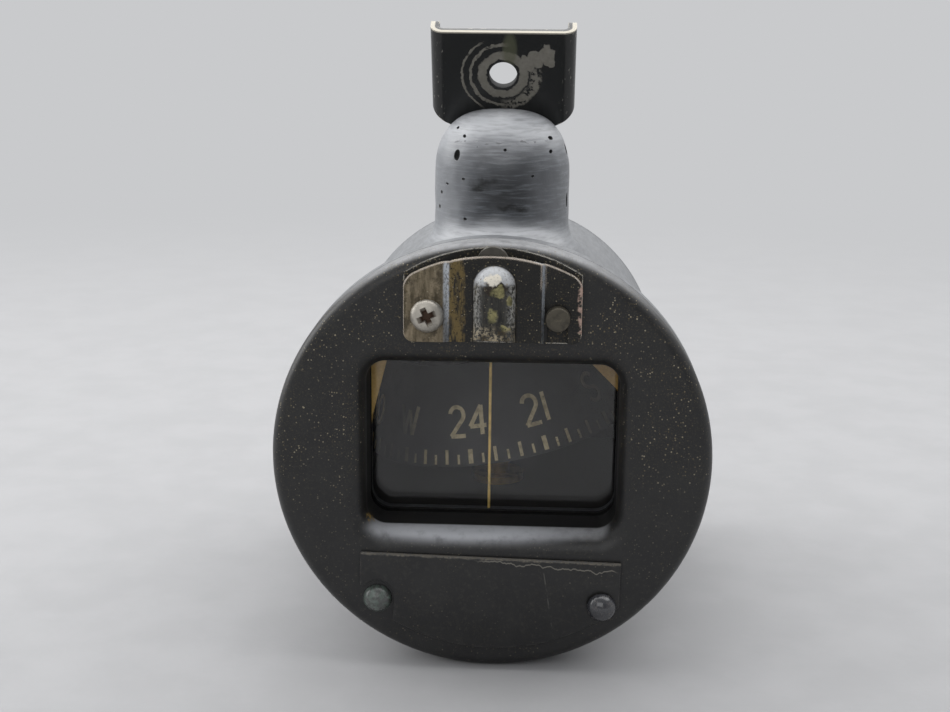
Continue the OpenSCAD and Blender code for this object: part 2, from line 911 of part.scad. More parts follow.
// Channel section of the bracket: a web with two sides bent backwards
module bracket_section() {
  inner_r = bracket_bend_r - bracket_sheet;
  inner_w = bracket_w - 2 * bracket_sheet;
  difference() {
    translate([0, bracket_flange])
      rounded_rect(bracket_w, 2 * bracket_flange, bracket_bend_r);
    translate([0, bracket_flange + bracket_sheet])
      rounded_rect(inner_w, 2 * bracket_flange, max(inner_r, least_bend_r));
    translate([-bracket_w, bracket_flange])
      square([2 * bracket_w, 2 * bracket_flange]);
  }
}

module mounting_bracket() {
  color("#17181a")
    bracket_frame()
      difference() {
        intersection() {
          translate([0, bracket_seat, -tongue_drop - over])
            linear_extrude(hole_up + hole_to_top + tongue_drop + 2 * over)
              union() {
                bracket_section();
                translate([-tongue_w / 2, 0])
                  square([tongue_w, bracket_sheet]);
              }
          plate_y(bracket_seat - over, bracket_seat + bracket_flange + over)
            bracket_outline();
        }
        rod_y(hole_d / 2, bracket_seat - over, bracket_seat + bracket_sheet + over, 0, hole_up);
        for (up = bracket_screw_ups)
          rod_y(bracket_screw_r + screw_play, bracket_seat - over,
                bracket_seat + bracket_sheet + over, 0, up);
      }
}

module bracket_washers() {
  low = bracket_seat + bracket_sheet;
  color("#8f9194")
    bracket_frame()
      for (up = bracket_screw_ups)
        difference() {
          rod_y(bracket_washer_r, low, low + bracket_washer_thick, 0, up);
          rod_y(bracket_screw_r + screw_play, low - over, low + bracket_washer_thick + over, 0, up);
        }
}

module bracket_screws() {
  under_head = bracket_seat + bracket_sheet + bracket_washer_thick;
  color("#77797c")
    bracket_frame()
      for (up = bracket_screw_ups)
        translate([0, under_head, up])
          rotate([0, 0, 180])
            slotted_screw(bracket_head_r, bracket_head_h, bracket_screw_r,
                          bracket_screw_depth + bracket_sheet + bracket_washer_thick);
}

// Outline of the tray: straight sides under a round arch
module tray_outline(extra = 0) {
  intersection() {
    translate([0, tray_bottom + tray_top / 2])
      rounded_rect(tray_w, tray_top, tray_corner_r);
    translate([0, tray_top - tray_arch_r])
      circle(tray_arch_r + extra, $fn = 120);
  }
}

module light_back_plate() {
  color("#3a352c")
    difference() {
      plate_y(face_y - back_plate, face_y)
        tray_outline(back_plate_proud);
      for (x = [-1, 1])
        rod_y(small_screw_r + screw_play, face_y - back_plate - over, face_y + over,
              x * tray_screw_span / 2, tray_screw_z);
    }
}

// Hollow hump over the lamp: a half tube with a round top, open below
module hump(r) {
  translate([0, face_y - hump_axis, 0]) {
    translate([0, 0, tray_bottom - over])
      cylinder(r = r, h = hump_dome_z - tray_bottom + over, $fn = 64);
    translate([0, 0, hump_dome_z])
      sphere(r, $fn = 64);
  }
}

module light_tray() {
  tab_back = face_y - back_plate;
  tab_front = tab_back - tray_sheet;
  raised_front = tab_front - tray_raise;
  half = tray_raised_w / 2;
  color("#2a2724")
    difference() {
      intersection() {
        union() {
          span([-tray_w, tab_front, 0], [-half + tray_sheet, tab_back, tray_w * 2]);
          span([half - tray_sheet, tab_front, 0], [tray_w, tab_back, tray_w * 2]);
          difference() {
            span([-half, raised_front, 0], [half, tab_back, tray_w * 2]);
            span([-half + tray_sheet, raised_front + tray_sheet, -over],
                 [half - tray_sheet, tab_back + over, tray_w * 2 + over]);
          }
          difference() {
            hump(hump_r);
            span([-tray_w, raised_front + tray_sheet, 0], [tray_w, face_y + tray_w, tray_w * 2]);
          }
        }
        plate_y(face_y - tray_w, face_y)
          tray_outline();
      }
      hump(hump_r - tray_sheet);
      for (x = [-1, 1])
        rod_y(small_screw_r + screw_play, tab_front - over, tab_back + over,
              x * tray_screw_span / 2, tray_screw_z);
      span([(tray_screw_span - tray_slot_w) / 2, tab_front - over, tray_bottom - over],
           [(tray_screw_span + tray_slot_w) / 2, tab_back + over, tray_screw_z]);
    }
}

module lamp_insulator() {
  low = face_y - back_plate - tray_raise + insulator_play;
  color("#6b5638")
    rod_y(insulator_r, low, face_y - back_plate, 0, insulator_z);
}

module lamp_socket() {
  axis_y = face_y - back_plate - lamp_socket_r;
  color("#a98f52")
    translate([0, axis_y, lamp_socket_low])
      difference() {
        cylinder(r = lamp_socket_r, h = hump_dome_z + lamp_socket_rise - lamp_socket_low, $fn = 48);
        translate([0, 0, -over])
          cylinder(r = lamp_r, h = lamp_socket_bore + over, $fn = 48);
      }
}

module lamp() {
  axis_y = face_y - back_plate - lamp_socket_r;
  color("#e8dcc0", 0.7)
    translate([0, axis_y, lamp_socket_low - lamp_out]) {
      cylinder(r = lamp_r, h = lamp_len, $fn = 48);
      sphere(lamp_r, $fn = 48);
    }
}

// Recess for a cross-point driver, cut into a head that is head_h high
module cross_recess(head_h, arm, width) {
  rotate([0, cross_turn, 0])
    for (a = [0, 90])
      rotate([0, a, 0])
        span([-arm, -head_h - over, -width / 2], [arm, -head_h + cross_depth, width / 2]);
}

module light_screw_left() {
  color("#b9bbbc")
    translate([-tray_screw_span / 2, face_y - back_plate - tray_sheet, tray_screw_z])
      difference() {
        union() {
          rod_y(small_screw_r, -overlap, back_plate + tray_sheet + face_screw_depth);
          along_y(-pan_head_h)
            rotate_extrude()
              union() {
                translate([0, pan_edge_r])
                  square([pan_head_r, pan_head_h - pan_edge_r]);
                square([pan_head_r - pan_edge_r, pan_head_h]);
                translate([pan_head_r - pan_edge_r, pan_edge_r])
                  circle(pan_edge_r, $fn = 32);
              }
        }
        cross_recess(pan_head_h, cross_arm, cross_w);
      }
}

module light_screw_right() {
  color("#6b675c")
    translate([tray_screw_span / 2, face_y - back_plate - tray_sheet, tray_screw_z])
      slotted_screw(fillister_r, fillister_h, small_screw_r,
                    back_plate + tray_sheet + face_screw_depth);
}

// Frame of the compensator: front plate with ears, base, bearing plate and cross shaft lugs
module compensator_frame() {
  color("#a8894e")
    difference() {
      union() {
        span([-access_w / 2 + play, frame_front, frame_low],
             [access_w / 2 - play, frame_front + frame_plate, frame_top]);
        span([-frame_w / 2, frame_front, frame_low], [frame_w / 2, frame_rear, frame_low + frame_base]);
        span([-frame_w / 2, frame_mid, frame_low], [frame_w / 2, frame_mid + frame_plate, frame_top]);
        for (x = [crown_disc_x + crown_disc_thick + end_play, crown_end_x])
          span([x, crown_y - crown_lug_half, frame_low],
               [x + crown_lug, crown_y + crown_lug_half, frame_top - crown_lug_low]);
      }
      for (x = [-adjuster_x, ew_idler_x, adjuster_x]) {
        rod_y(spindle_r + running_play, frame_front - over, frame_front + frame_plate + over,
              x, adjuster_z);
        rod_y(spindle_tail_r + running_play, frame_mid - over, frame_mid + frame_plate + over,
              x, adjuster_z);
      }
      translate([-bay_w / 2, crown_y, adjuster_z])
        rotate([0, 90, 0])
          cylinder(r = spindle_tail_r + running_play, h = bay_w);
      for (x = [-1, 1])
        rod_y(ear_screw_r + screw_play, frame_front - over, frame_front + frame_plate + over,
              x * frame_ear_x, adjuster_z);
    }
}

module compensator_screws() {
  color("#8a8c8e")
    for (x = [-1, 1])
      translate([x * frame_ear_x, frame_front, adjuster_z])
        slotted_screw(ear_head_r, ear_head_h, ear_screw_r, frame_plate + ear_screw_bite);
}

// Spur gear in X and Z about its own axis, first tooth turned by start degrees
module spur_teeth(start) {
  root_r = pitch_r - gear_dedendum * gear_module;
  tip_r = pitch_r + gear_addendum * gear_module;
  half_pitch = PI * gear_module / 4 - gear_backlash;
  foot_r = root_r - gear_root_sink;
  foot = gear_root_share * half_pitch;
  tip = gear_tip_share * half_pitch;
  circle(root_r);
  for (i = [0:gear_teeth - 1])
    rotate(start + i * 360 / gear_teeth)
      polygon([[foot_r, -foot], [pitch_r, -half_pitch], [tip_r, -tip],
               [tip_r, tip], [pitch_r, half_pitch], [foot_r, foot]]);
}

// Spindle of the athwart pair: journals, gear and a collar with a cross hole for its magnet
module ew_spindle(x, start, tail) {
  translate([x, 0, adjuster_z])
    difference() {
      union() {
        rod_y(spindle_r, frame_front - head_play, ew_collar_y + collar_len);
        rod_y(spindle_tail_r, ew_collar_y, frame_mid + frame_plate + tail);
        plate_y(ew_gear_y, ew_gear_y + gear_width)
          spur_teeth(start);
        rod_y(collar_r, ew_collar_y, ew_collar_y + collar_len);
      }
      translate([0, ew_magnet_y, -collar_r - over])
        cylinder(r = magnet_r, h = 2 * (collar_r + over));
    }
}

module ew_magnet_bar(x) {
  color("#5d6063")
    translate([x, ew_magnet_y, adjuster_z - ew_magnet_len / 2])
      cylinder(r = magnet_r, h = ew_magnet_len);
}

// Slotted head of an adjuster, in front of the frame's plate
module adjuster_head(x) {
  head_back = frame_front - head_play;
  translate([x, 0, adjuster_z])
    difference() {
      rod_y(adjuster_head_r, head_back - adjuster_head_h, head_back);
      span([-adjuster_head_r - over, head_back - adjuster_head_h - over, -adjuster_slot_w / 2],
           [adjuster_head_r + over, head_back - adjuster_head_h + adjuster_slot_depth, adjuster_slot_w / 2]);
    }
}

module ew_adjuster() {
  color("#b79a55") {
    ew_spindle(adjuster_x, 0, end_play);
    adjuster_head(adjuster_x);
  }
}

module ew_adjuster_magnet() {
  ew_magnet_bar(adjuster_x);
}

module ew_idler() {
  color("#b79a55")
    ew_spindle(ew_idler_x, 180 / gear_teeth, end_play);
}

module ew_idler_magnet() {
  ew_magnet_bar(ew_idler_x);
}

// Spindle of the fore-and-aft adjuster, with a pinion behind the bearing plate
module ns_adjuster() {
  color("#b79a55") {
    adjuster_head(-adjuster_x);
    translate([-adjuster_x, 0, adjuster_z]) {
      rod_y(spindle_r, frame_front - head_play, frame_mid - end_play);
      rod_y(spindle_tail_r, frame_mid - end_play - overlap, pinion_y + overlap);
      rod_y(pinion_root_r, pinion_y, pinion_y + pinion_len);
      for (i = [0:pinion_teeth - 1])
        rotate([0, (i + 0.5) * 360 / pinion_teeth, 0])
          span([pinion_root_r - overlap, pinion_y, -pinion_tooth / 2],
               [pinion_tip_r, pinion_y + pinion_len, pinion_tooth / 2]);
    }
  }
}

// Cross shaft with a pinned crown wheel, driven by the pinion
module ns_crown() {
  color("#b79a55")
    translate([0, crown_y, adjuster_z])
      difference() {
        rotate([0, 90, 0]) {
          translate([0, 0, crown_disc_x])
            cylinder(r = crown_r + crown_rim, h = crown_disc_thick);
          translate([0, 0, crown_disc_x])
            cylinder(r = spindle_tail_r, h = crown_end_x + crown_lug + end_play - crown_disc_x);
          translate([0, 0, ns_magnet_x - collar_len / 2])
            cylinder(r = collar_r, h = collar_len);
          for (i = [0:crown_pins - 1])
            rotate(i * 360 / crown_pins)
              translate([0, crown_r, crown_tip_x])
                cylinder(r = pin_r, h = crown_disc_x - crown_tip_x + overlap, $fn = 24);
        }
        translate([ns_magnet_x, 0, -collar_r - over])
          cylinder(r = magnet_r, h = 2 * (collar_r + over));
      }
}

module ns_magnet() {
  color("#5d6063")
    translate([ns_magnet_x, crown_y, adjuster_z - ns_magnet_len / 2])
      cylinder(r = magnet_r, h = ns_magnet_len);
}

// Plate over the adjusters: straight top, arched lower edge and a notch for the stop screw
module compensator_cover() {
  back = face_y - cover_gap;
  color("#2b2c2d")
    cover_frame()
      difference() {
        plate_y(cover_front, back)
          difference() {
            intersection() {
              circle(cover_arch_r, $fn = 180);
              translate([-cover_w / 2, -cover_arch_r])
                square([cover_w, cover_arch_r - cover_top]);
            }
            translate([-cover_pivot_x, -cover_screw_drop])
              circle(cover_notch_r);
            translate([-cover_pivot_x - cover_notch_r, -cover_arch_r])
              square([2 * cover_notch_r, cover_arch_r - cover_screw_drop]);
            translate([-cover_w / 2 - over, -cover_arch_r])
              square([cover_w / 2 + over - cover_pivot_x,
                      cover_arch_r - cover_screw_drop + cover_notch_rise]);
          }
        rod_y(small_screw_r + running_play, cover_front - over, back + over,
              cover_pivot_x, -cover_screw_drop);
      }
}

module cover_pivot_washer() {
  back = cover_front - cover_washer_gap;
  front = back - cover_washer_thick;
  color("#6d6a5c")
    difference() {
      rod_y(cover_head_r - cover_washer_inset, front, back, cover_pivot_x, -cover_screw_drop);
      rod_y(small_screw_r + running_play, front - over, back + over, cover_pivot_x, -cover_screw_drop);
    }
}

// Screw with a domed head, whose underside is at y
module domed_screw(x, y) {
  dome_r = (cover_head_r * cover_head_r + cover_head_h * cover_head_h) / (2 * cover_head_h);
  translate([x, y, -cover_screw_drop]) {
    rod_y(small_screw_r, -overlap, face_y + face_screw_depth - y);
    intersection() {
      rod_y(cover_head_r, -cover_head_h, 0);
      translate([0, dome_r - cover_head_h, 0])
        sphere(dome_r);
    }
  }
}

module cover_pivot_screw() {
  color("#3b3d3f")
    domed_screw(cover_pivot_x, cover_front - cover_washer_gap - cover_washer_thick);
}

module cover_stop_screw() {
  color("#56584f")
    domed_screw(-cover_pivot_x, face_y);
}

place() bezel();
place() front_gasket();
place() window_glass();
place() rear_gasket();
place() case_body();
place() case_screws();
place() lubber_line();
place() pivot_stand();
place() jewel_post();
place() jewel();
place() pivot_spring();
place() pivot_ball();
place() pivot_needle();
place() card_hub();
place() compass_card();
place() card_float();
place() card_magnets();
place() diaphragm();
place() rear_cover();
place() rear_cover_screws();
place() filler_plug();
place() filler_seal();
place() mounting_bracket();
place() bracket_screws();
place() bracket_washers();
place() light_back_plate();
place() light_tray();
place() lamp_insulator();
place() lamp_socket();
place() lamp();
place() light_screw_left();
place() light_screw_right();
place() compensator_frame();
place() compensator_screws();
place() ew_adjuster();
place() ew_adjuster_magnet();
place() ew_idler();
place() ew_idler_magnet();
place() ns_adjuster();
place() ns_crown();
place() ns_magnet();
place() compensator_cover();
place() cover_pivot_screw();
place() cover_pivot_washer();
place() cover_stop_screw();
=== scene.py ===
import functools
import math
import operator
import bmesh
import bpy
from mathutils import Matrix, Vector, noise


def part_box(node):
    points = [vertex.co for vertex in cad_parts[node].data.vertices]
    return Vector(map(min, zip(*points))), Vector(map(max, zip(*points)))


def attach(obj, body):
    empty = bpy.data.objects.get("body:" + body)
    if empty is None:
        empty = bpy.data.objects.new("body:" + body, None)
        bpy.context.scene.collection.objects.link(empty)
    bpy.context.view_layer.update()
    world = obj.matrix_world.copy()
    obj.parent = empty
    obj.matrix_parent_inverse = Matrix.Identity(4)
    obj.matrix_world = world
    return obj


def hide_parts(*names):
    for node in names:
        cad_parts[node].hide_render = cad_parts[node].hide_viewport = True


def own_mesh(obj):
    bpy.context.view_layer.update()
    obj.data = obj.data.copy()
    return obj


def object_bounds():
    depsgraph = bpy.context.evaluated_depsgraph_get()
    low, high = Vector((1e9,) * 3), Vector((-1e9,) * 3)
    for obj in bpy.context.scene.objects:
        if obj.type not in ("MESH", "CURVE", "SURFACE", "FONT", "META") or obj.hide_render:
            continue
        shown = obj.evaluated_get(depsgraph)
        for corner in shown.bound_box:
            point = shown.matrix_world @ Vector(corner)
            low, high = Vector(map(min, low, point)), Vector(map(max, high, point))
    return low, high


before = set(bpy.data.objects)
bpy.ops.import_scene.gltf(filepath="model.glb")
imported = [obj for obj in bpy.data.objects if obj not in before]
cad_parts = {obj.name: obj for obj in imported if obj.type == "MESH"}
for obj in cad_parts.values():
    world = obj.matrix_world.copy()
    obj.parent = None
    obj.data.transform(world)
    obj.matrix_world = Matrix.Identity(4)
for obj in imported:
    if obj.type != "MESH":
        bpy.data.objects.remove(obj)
cad_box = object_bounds()

# The face frame, in millimetres: x to the right, d behind the bezel's face, z above the bezel's axis
MM = 0.001
bezel_low, bezel_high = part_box("bezel")
FACE_Y = bezel_low.y
AXIS_Z = (bezel_low.z + bezel_high.z) / 2
TO_ROW = Matrix.Translation((0, FACE_Y, AXIS_Z)) @ Matrix.Scale(MM, 4)

# Bezel and window
BEZEL_R = 37.0
BEZEL_THICK = 6.0
BEZEL_EDGE = 0.2
RIM_ROUND = 2.2
WINDOW_HALF_W = 21.25
WINDOW_HALF_H = 14.45
WINDOW_CORNER = 3.4
WINDOW_RISE = 2.0
LIP_SIDE = 3.3
LIP_END = 4.1
LIP_DEPTH = 4.0
BOSS_BACK = 9.9
BOSS_GROW = 2.8
SEAT_GROW = 3.2
LEDGE_FRONT = 13.9
LEDGE_BACK = 15.4
CORNER_LINE = 31.0
WEDGE_X = -22.34
WEDGE_LEAN = 0.253
PLAY = 0.2

# Case
FLANGE_BACK = 9.5
FLANGE_EDGE = 0.25
BARREL_R = 32.6
BARREL_FILLET = 0.4
BARREL_EDGE = 0.3
CASE_BACK = 78.4
REAR_BACK = 80.6
REAR_ROLL = 0.9
REAR_EDGE = 0.2
BREATHER_R = 0.8
CHAMBER_R = 30.0
CHAMBER_BACK = 72.5
FLOOR_Z = -16.5
BAY_TOP = -18.5
BAY_LOW = -26.5
BAY_R = 29.4
BAY_BACK = 70.0
BAY_HALF = 12.0
EAR_HALF = 16.0
EAR_BACK = 7.5
EAR_SCREW = (14.0, 6.2, -22.0)
RING_SCREWS = 6
FLANGE_CIRCLE = 34.75
REAR_CIRCLE = 30.8
FILLER_D = 68.0
FILLER_BOSS_R = 4.6
FILLER_BOSS_H = 18.2
FILLER_TOP = 34.2
FILLER_SEAL = 0.6
TURN_STEPS = 240

# Neck and bracket
NECK_D = 45.5
NECK_R = 12.7
NECK_FOOT_R = 17.6
NECK_ROOT_Z = 8.0
NECK_TOP_Z = 42.6
NECK_SQUARE = 2.6
NECK_STEPS = 220
FLARE_RISE = 4.2
WOBBLE = ((0.2, 6.5), (0.06, 2.1))
PIT_DEPTH = 0.8
PIT_LIFT = 0.25
LEAN = math.radians(24)
SEAT = 5.0
SEAT_CUT = 26.0
SEAT_CUT_BACK = 40.0
SHEET = 1.6
FLANGE_DEPTH = 4.5
BEND_R = 2.5
HEAD_HALF = 13.4
HEAD_TOP = 27.1
TONGUE_HALF = 9.5
TONGUE_LOW = -9.0
TONGUE_TOP = 8.0
TRIM_RISE = 5.0
TONGUE_CORNER = 3.0
HOLE_UP = 18.6
HOLE_R = 2.6
BRACKET_SCREWS = (3.5, -4.5)
BRACKET_SCREW_HOLE = 1.9
WASHER_THICK = 0.7

# Lamp tray
TRAY_HALF = 14.5
TRAY_LOW = 20.9
TRAY_TOP = 35.4
TRAY_ARCH = 28.5
TRAY_CORNER = 1.6
TRAY_SHEET = 0.7
TAB_FRONT = -1.5
TRAY_RAISE = 1.5
RAISED_LEFT = -7.5
STEP_LEFT = 1.6
RAISED_RIGHT = 8.2
STEP_RIGHT = 0.7
HUMP_X = 0.35
HUMP_AXIS = -2.6
HUMP_R = 3.55
HUMP_DOME_Z = 30.6
HUMP_FILLET = 0.7
LOW_SLOPE = 0.3
TRAY_SCREW_X = 10.6
TRAY_SCREW_Z = 25.3
TRAY_HOLE_R = 1.5
TRAY_SLOT_W = 3.4
TRAY_PITCH = 0.6

# Compensator's cover
COVER_HALF = 22.1
COVER_TOP = -17.0
COVER_ARCH = 33.2
COVER_FRONT = -1.1
COVER_REAR = -0.1
COVER_SCREW_X = 19.1
COVER_SCREW_Z = -24.6
COVER_SWING = math.radians(1.2)
NOTCH_R = 2.8
NOTCH_RISE = 1.8
ACCESS_HALF_W = 16.0
ACCESS_HALF_H = 3.65
ACCESS_Z = -22.65
ACCESS_CORNER = 1.5

# Screws of the tray and of the cover
SHANK_R = 1.35
TRAY_SHANK = 5.6
UNDER_EDGE = 0.06
PAN_R = 2.75
PAN_H = 1.7
PAN_CROWN = 0.95
PAN_BRIM = 0.45
PAN_SWEEP = 1.2
CROSS_ARM = 1.9
CROSS_W = 1.05
CROSS_DEEP = 1.2
CROSS_TAPER = (0.4, 0.75)
CROSS_TURN = math.radians(-25)
FLAT_R = 2.0
FLAT_H = 2.0
NICK = (0.5, 0.07, 0.09)
DOME_R = 2.45
DOME_H = 1.9
DOME_BRIM = 0.2
COVER_SHANK_END = 4.6
PIVOT_SEAT = -1.45

# Card
CARD_D = 44.0
CARD_PIVOT_Z = 1.0
CARD_R = 26.9
CARD_DROP = 4.1
CARD_SLOPE = 0.40588
CARD_PITCH = math.radians(4.9)
CARD_ROLL = math.radians(10.8)
CARD_HEADING = 229.6

# CAD nodes that stay as they are
NODE_BEVEL = 0.08

# Shock spring
SPRING_WIRE = 0.15
SPRING_TURNS = 4


# Mesh helpers

def new_object(name, data):
    obj = bpy.data.objects.new(name, data)
    bpy.context.scene.collection.objects.link(obj)
    return obj


def from_bmesh(name, bm):
    """An object with the mesh that was built."""
    mesh = bpy.data.meshes.new(name)
    bm.to_mesh(mesh)
    bm.free()
    return new_object(name, mesh)


def shape(name, verts, faces):
    """An object in face frame millimetres, with merged points and outward normals."""
    mesh = bpy.data.meshes.new(name)
    mesh.from_pydata([tuple(v) for v in verts], [], faces)
    bm = bmesh.new()
    bm.from_mesh(mesh)
    bmesh.ops.remove_doubles(bm, verts=bm.verts, dist=1e-4)
    bmesh.ops.dissolve_degenerate(bm, edges=bm.edges, dist=1e-5)
    bmesh.ops.recalc_face_normals(bm, faces=bm.faces)
    bm.to_mesh(mesh)
    bm.free()
    return new_object(name, mesh)


def modify(obj, kind, **settings):
    modifier = obj.modifiers.new(kind.lower(), kind)
    for key, value in settings.items():
        setattr(modifier, key, value)


def apply_modifiers(obj):
    """Replaces the object's mesh by what its modifiers make of it."""
    bpy.context.view_layer.update()
    graph = bpy.context.evaluated_depsgraph_get()
    mesh = bpy.data.meshes.new_from_object(obj.evaluated_get(graph))
    mesh.materials.clear()
    obj.modifiers.clear()
    obj.data = mesh
    mesh.name = obj.name


def combine(obj, tool, operation):
    """Joins or cuts two closed shapes, and drops the tool."""
    modify(obj, "BOOLEAN", operation=operation, solver="MANIFOLD", object=tool)
    apply_modifiers(obj)
    bpy.data.objects.remove(tool)


def cut(obj, tool):
    combine(obj, tool, "DIFFERENCE")


def bevel(obj, width, segments, angle):
    """Rounds the edges that turn by more than angle degrees."""
    limit = math.radians(angle)
    modify(obj, "BEVEL", width=width, segments=segments, limit_method="ANGLE", angle_limit=limit)


def round_edges(obj, width, segments=3, angle=40):
    bevel(obj, width, segments, angle)
    apply_modifiers(obj)


def thicken(obj, thickness):
    modify(obj, "SOLIDIFY", thickness=thickness, offset=-1, use_even_offset=True)
    apply_modifiers(obj)


def finish_piece(obj, body, slot, materials, *replaced, crease=32):
    """Moves a shape into the row frame, dresses it, hangs it on its body's empty and hides the CAD nodes
    that it stands for.
    """
    obj.data.transform(TO_ROW)
    for material in materials:
        obj.data.materials.append(material)
    obj.data.shade_smooth()
    obj.data.set_sharp_from_angle(angle=math.radians(crease))
    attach(obj, body)
    if replaced:
        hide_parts(*replaced)


def loft(name, rings, around=True, joined=False):
    """Skin through rings of equal length. around closes each ring, joined closes the last to the first."""
    count = len(rings[0])
    verts = [point for ring in rings for point in ring]
    rows = len(rings) if joined else len(rings) - 1
    columns = count if around else count - 1
    faces = []
    for i in range(rows):
        here = i * count
        there = (i + 1) % len(rings) * count
        for k in range(columns):
            n = (k + 1) % count
            faces.append((here + k, here + n, there + n, there + k))
    return shape(name, verts, faces)


def close_ends(obj):
    """Closes the open ends of a skin with one face each."""
    bm = bmesh.new()
    bm.from_mesh(obj.data)
    bmesh.ops.holes_fill(bm, edges=[e for e in bm.edges if e.is_boundary], sides=0)
    bmesh.ops.recalc_face_normals(bm, faces=bm.faces)
    bm.to_mesh(obj.data)
    bm.free()


def circle(radius, steps):
    angles = [2 * math.pi * k / steps for k in range(steps)]
    return [(radius * math.cos(a), radius * math.sin(a)) for a in angles]


def quarter(steps):
    """Sine and cosine at equal steps through a right angle."""
    angles = [math.pi / 2 * k / steps for k in range(steps + 1)]
    return [(math.sin(a), math.cos(a)) for a in angles]


def lathe(name, profile, steps, joined=False):
    """Turns a profile of (radius, depth) about the d axis."""
    rings = [[(x, depth, z) for x, z in circle(radius, steps)] for radius, depth in profile]
    return loft(name, rings, joined=joined)


def prism(name, outline, near, far):
    """A flat outline in x and z, given thickness from depth near to depth far."""
    count = len(outline)
    verts = [(x, near, z) for x, z in outline] + [(x, far, z) for x, z in outline]
    faces = [tuple(range(count)), tuple(range(2 * count - 1, count - 1, -1))]
    faces += [(k, (k + 1) % count, count + (k + 1) % count, count + k) for k in range(count)]
    return shape(name, verts, faces)


def block(name, low, high):
    outline = [(low[0], low[2]), (high[0], low[2]), (high[0], high[2]), (low[0], high[2])]
    return prism(name, outline, low[1], high[1])


def arc(cx, cz, rx, rz, start, end, steps):
    """Points on an ellipse from start to end, in degrees."""
    angles = [math.radians(start + (end - start) * k / steps) for k in range(steps + 1)]
    return [(cx + rx * math.cos(a), cz + rz * math.sin(a)) for a in angles]


def rounded_rect(half_w, half_h, radius, corner_steps=14, edge_steps=28):
    """Outline of a rectangle with round corners, with the same number of points at any size."""
    arcs = []
    for sx, sz, start in ((1, 1, 0), (-1, 1, 90), (-1, -1, 180), (1, -1, 270)):
        cx, cz = sx * (half_w - radius), sz * (half_h - radius)
        arcs.append(arc(cx, cz, radius, radius, start, start + 90, corner_steps))
    points = []
    for k, curve in enumerate(arcs):
        points += curve
        end = Vector(curve[-1])
        begin = Vector(arcs[(k + 1) % 4][0])
        points += [tuple(end.lerp(begin, step / edge_steps)) for step in range(1, edge_steps)]
    return points


def smooth(t):
    t = min(max(t, 0.0), 1.0)
    return t * t * (3 - 2 * t)


def smooth_min(a, b, k):
    """The lesser of two heights, with a fillet of about k between them."""
    h = max(k - abs(a - b), 0.0) / k
    return min(a, b) - h * h * k / 4


def copies(name, original, matrices):
    """One object made of placed copies of an original, which is dropped."""
    bm = bmesh.new()
    for matrix in matrices:
        mesh = original.data.copy()
        mesh.transform(matrix)
        bm.from_mesh(mesh)
        bpy.data.meshes.remove(mesh)
    bpy.data.objects.remove(original)
    return from_bmesh(name, bm)


def bracket_matrix():
    """From the bracket's leaning frame into the face frame."""
    return Matrix.Translation((0, NECK_D, NECK_TOP_Z)) @ Matrix.Rotation(LEAN, 4, "X")


def card_matrix():
    """From the card's own tilted frame into the face frame."""
    tilt = Matrix.Rotation(CARD_PITCH, 4, "X") @ Matrix.Rotation(-CARD_ROLL, 4, "Y")
    return Matrix.Translation((0, CARD_D, CARD_PIVOT_Z)) @ tilt


# Material helpers

def linear(code):
    """A colour written as a hexadecimal sRGB code, as linear values."""
    parts = [int(code[k:k + 2], 16) / 255 for k in (1, 3, 5)]
    values = [c / 12.92 if c <= 0.04045 else ((c + 0.055) / 1.055) ** 2.4 for c in parts]
    return (*values, 1.0)


def shaded(code, factor, lift=0.0):
    """A colour code made darker or paler."""
    return (*[min(1.0, factor * c + lift) for c in linear(code)[:3]], 1.0)


class Field:
    """A value that varies over a surface, for sums and masks. The bar joins two masks into one."""

    def __init__(self, graph, socket):
        self.graph = graph
        self.socket = socket

    def __add__(self, other):
        return self.graph.math("ADD", self, other)

    def __sub__(self, other):
        return self.graph.math("SUBTRACT", self, other)

    def __rsub__(self, other):
        return self.graph.math("SUBTRACT", other, self)

    def __mul__(self, other):
        return self.graph.math("MULTIPLY", self, other)

    def __or__(self, other):
        return self.graph.math("MAXIMUM", self, other)

    def __pow__(self, power):
        return self.graph.math("POWER", self, power)

    def __abs__(self):
        return self.graph.math("ABSOLUTE", self)

    def fit(self, low, high, to_low=0.0, to_high=1.0, ease="SMOOTHSTEP"):
        """Maps low..high to to_low..to_high, and holds the ends."""
        inputs = {"Value": self, "From Min": low, "From Max": high, "To Min": to_low, "To Max": to_high}
        return self.graph.field("ShaderNodeMapRange", "Result", inputs, interpolation_type=ease)


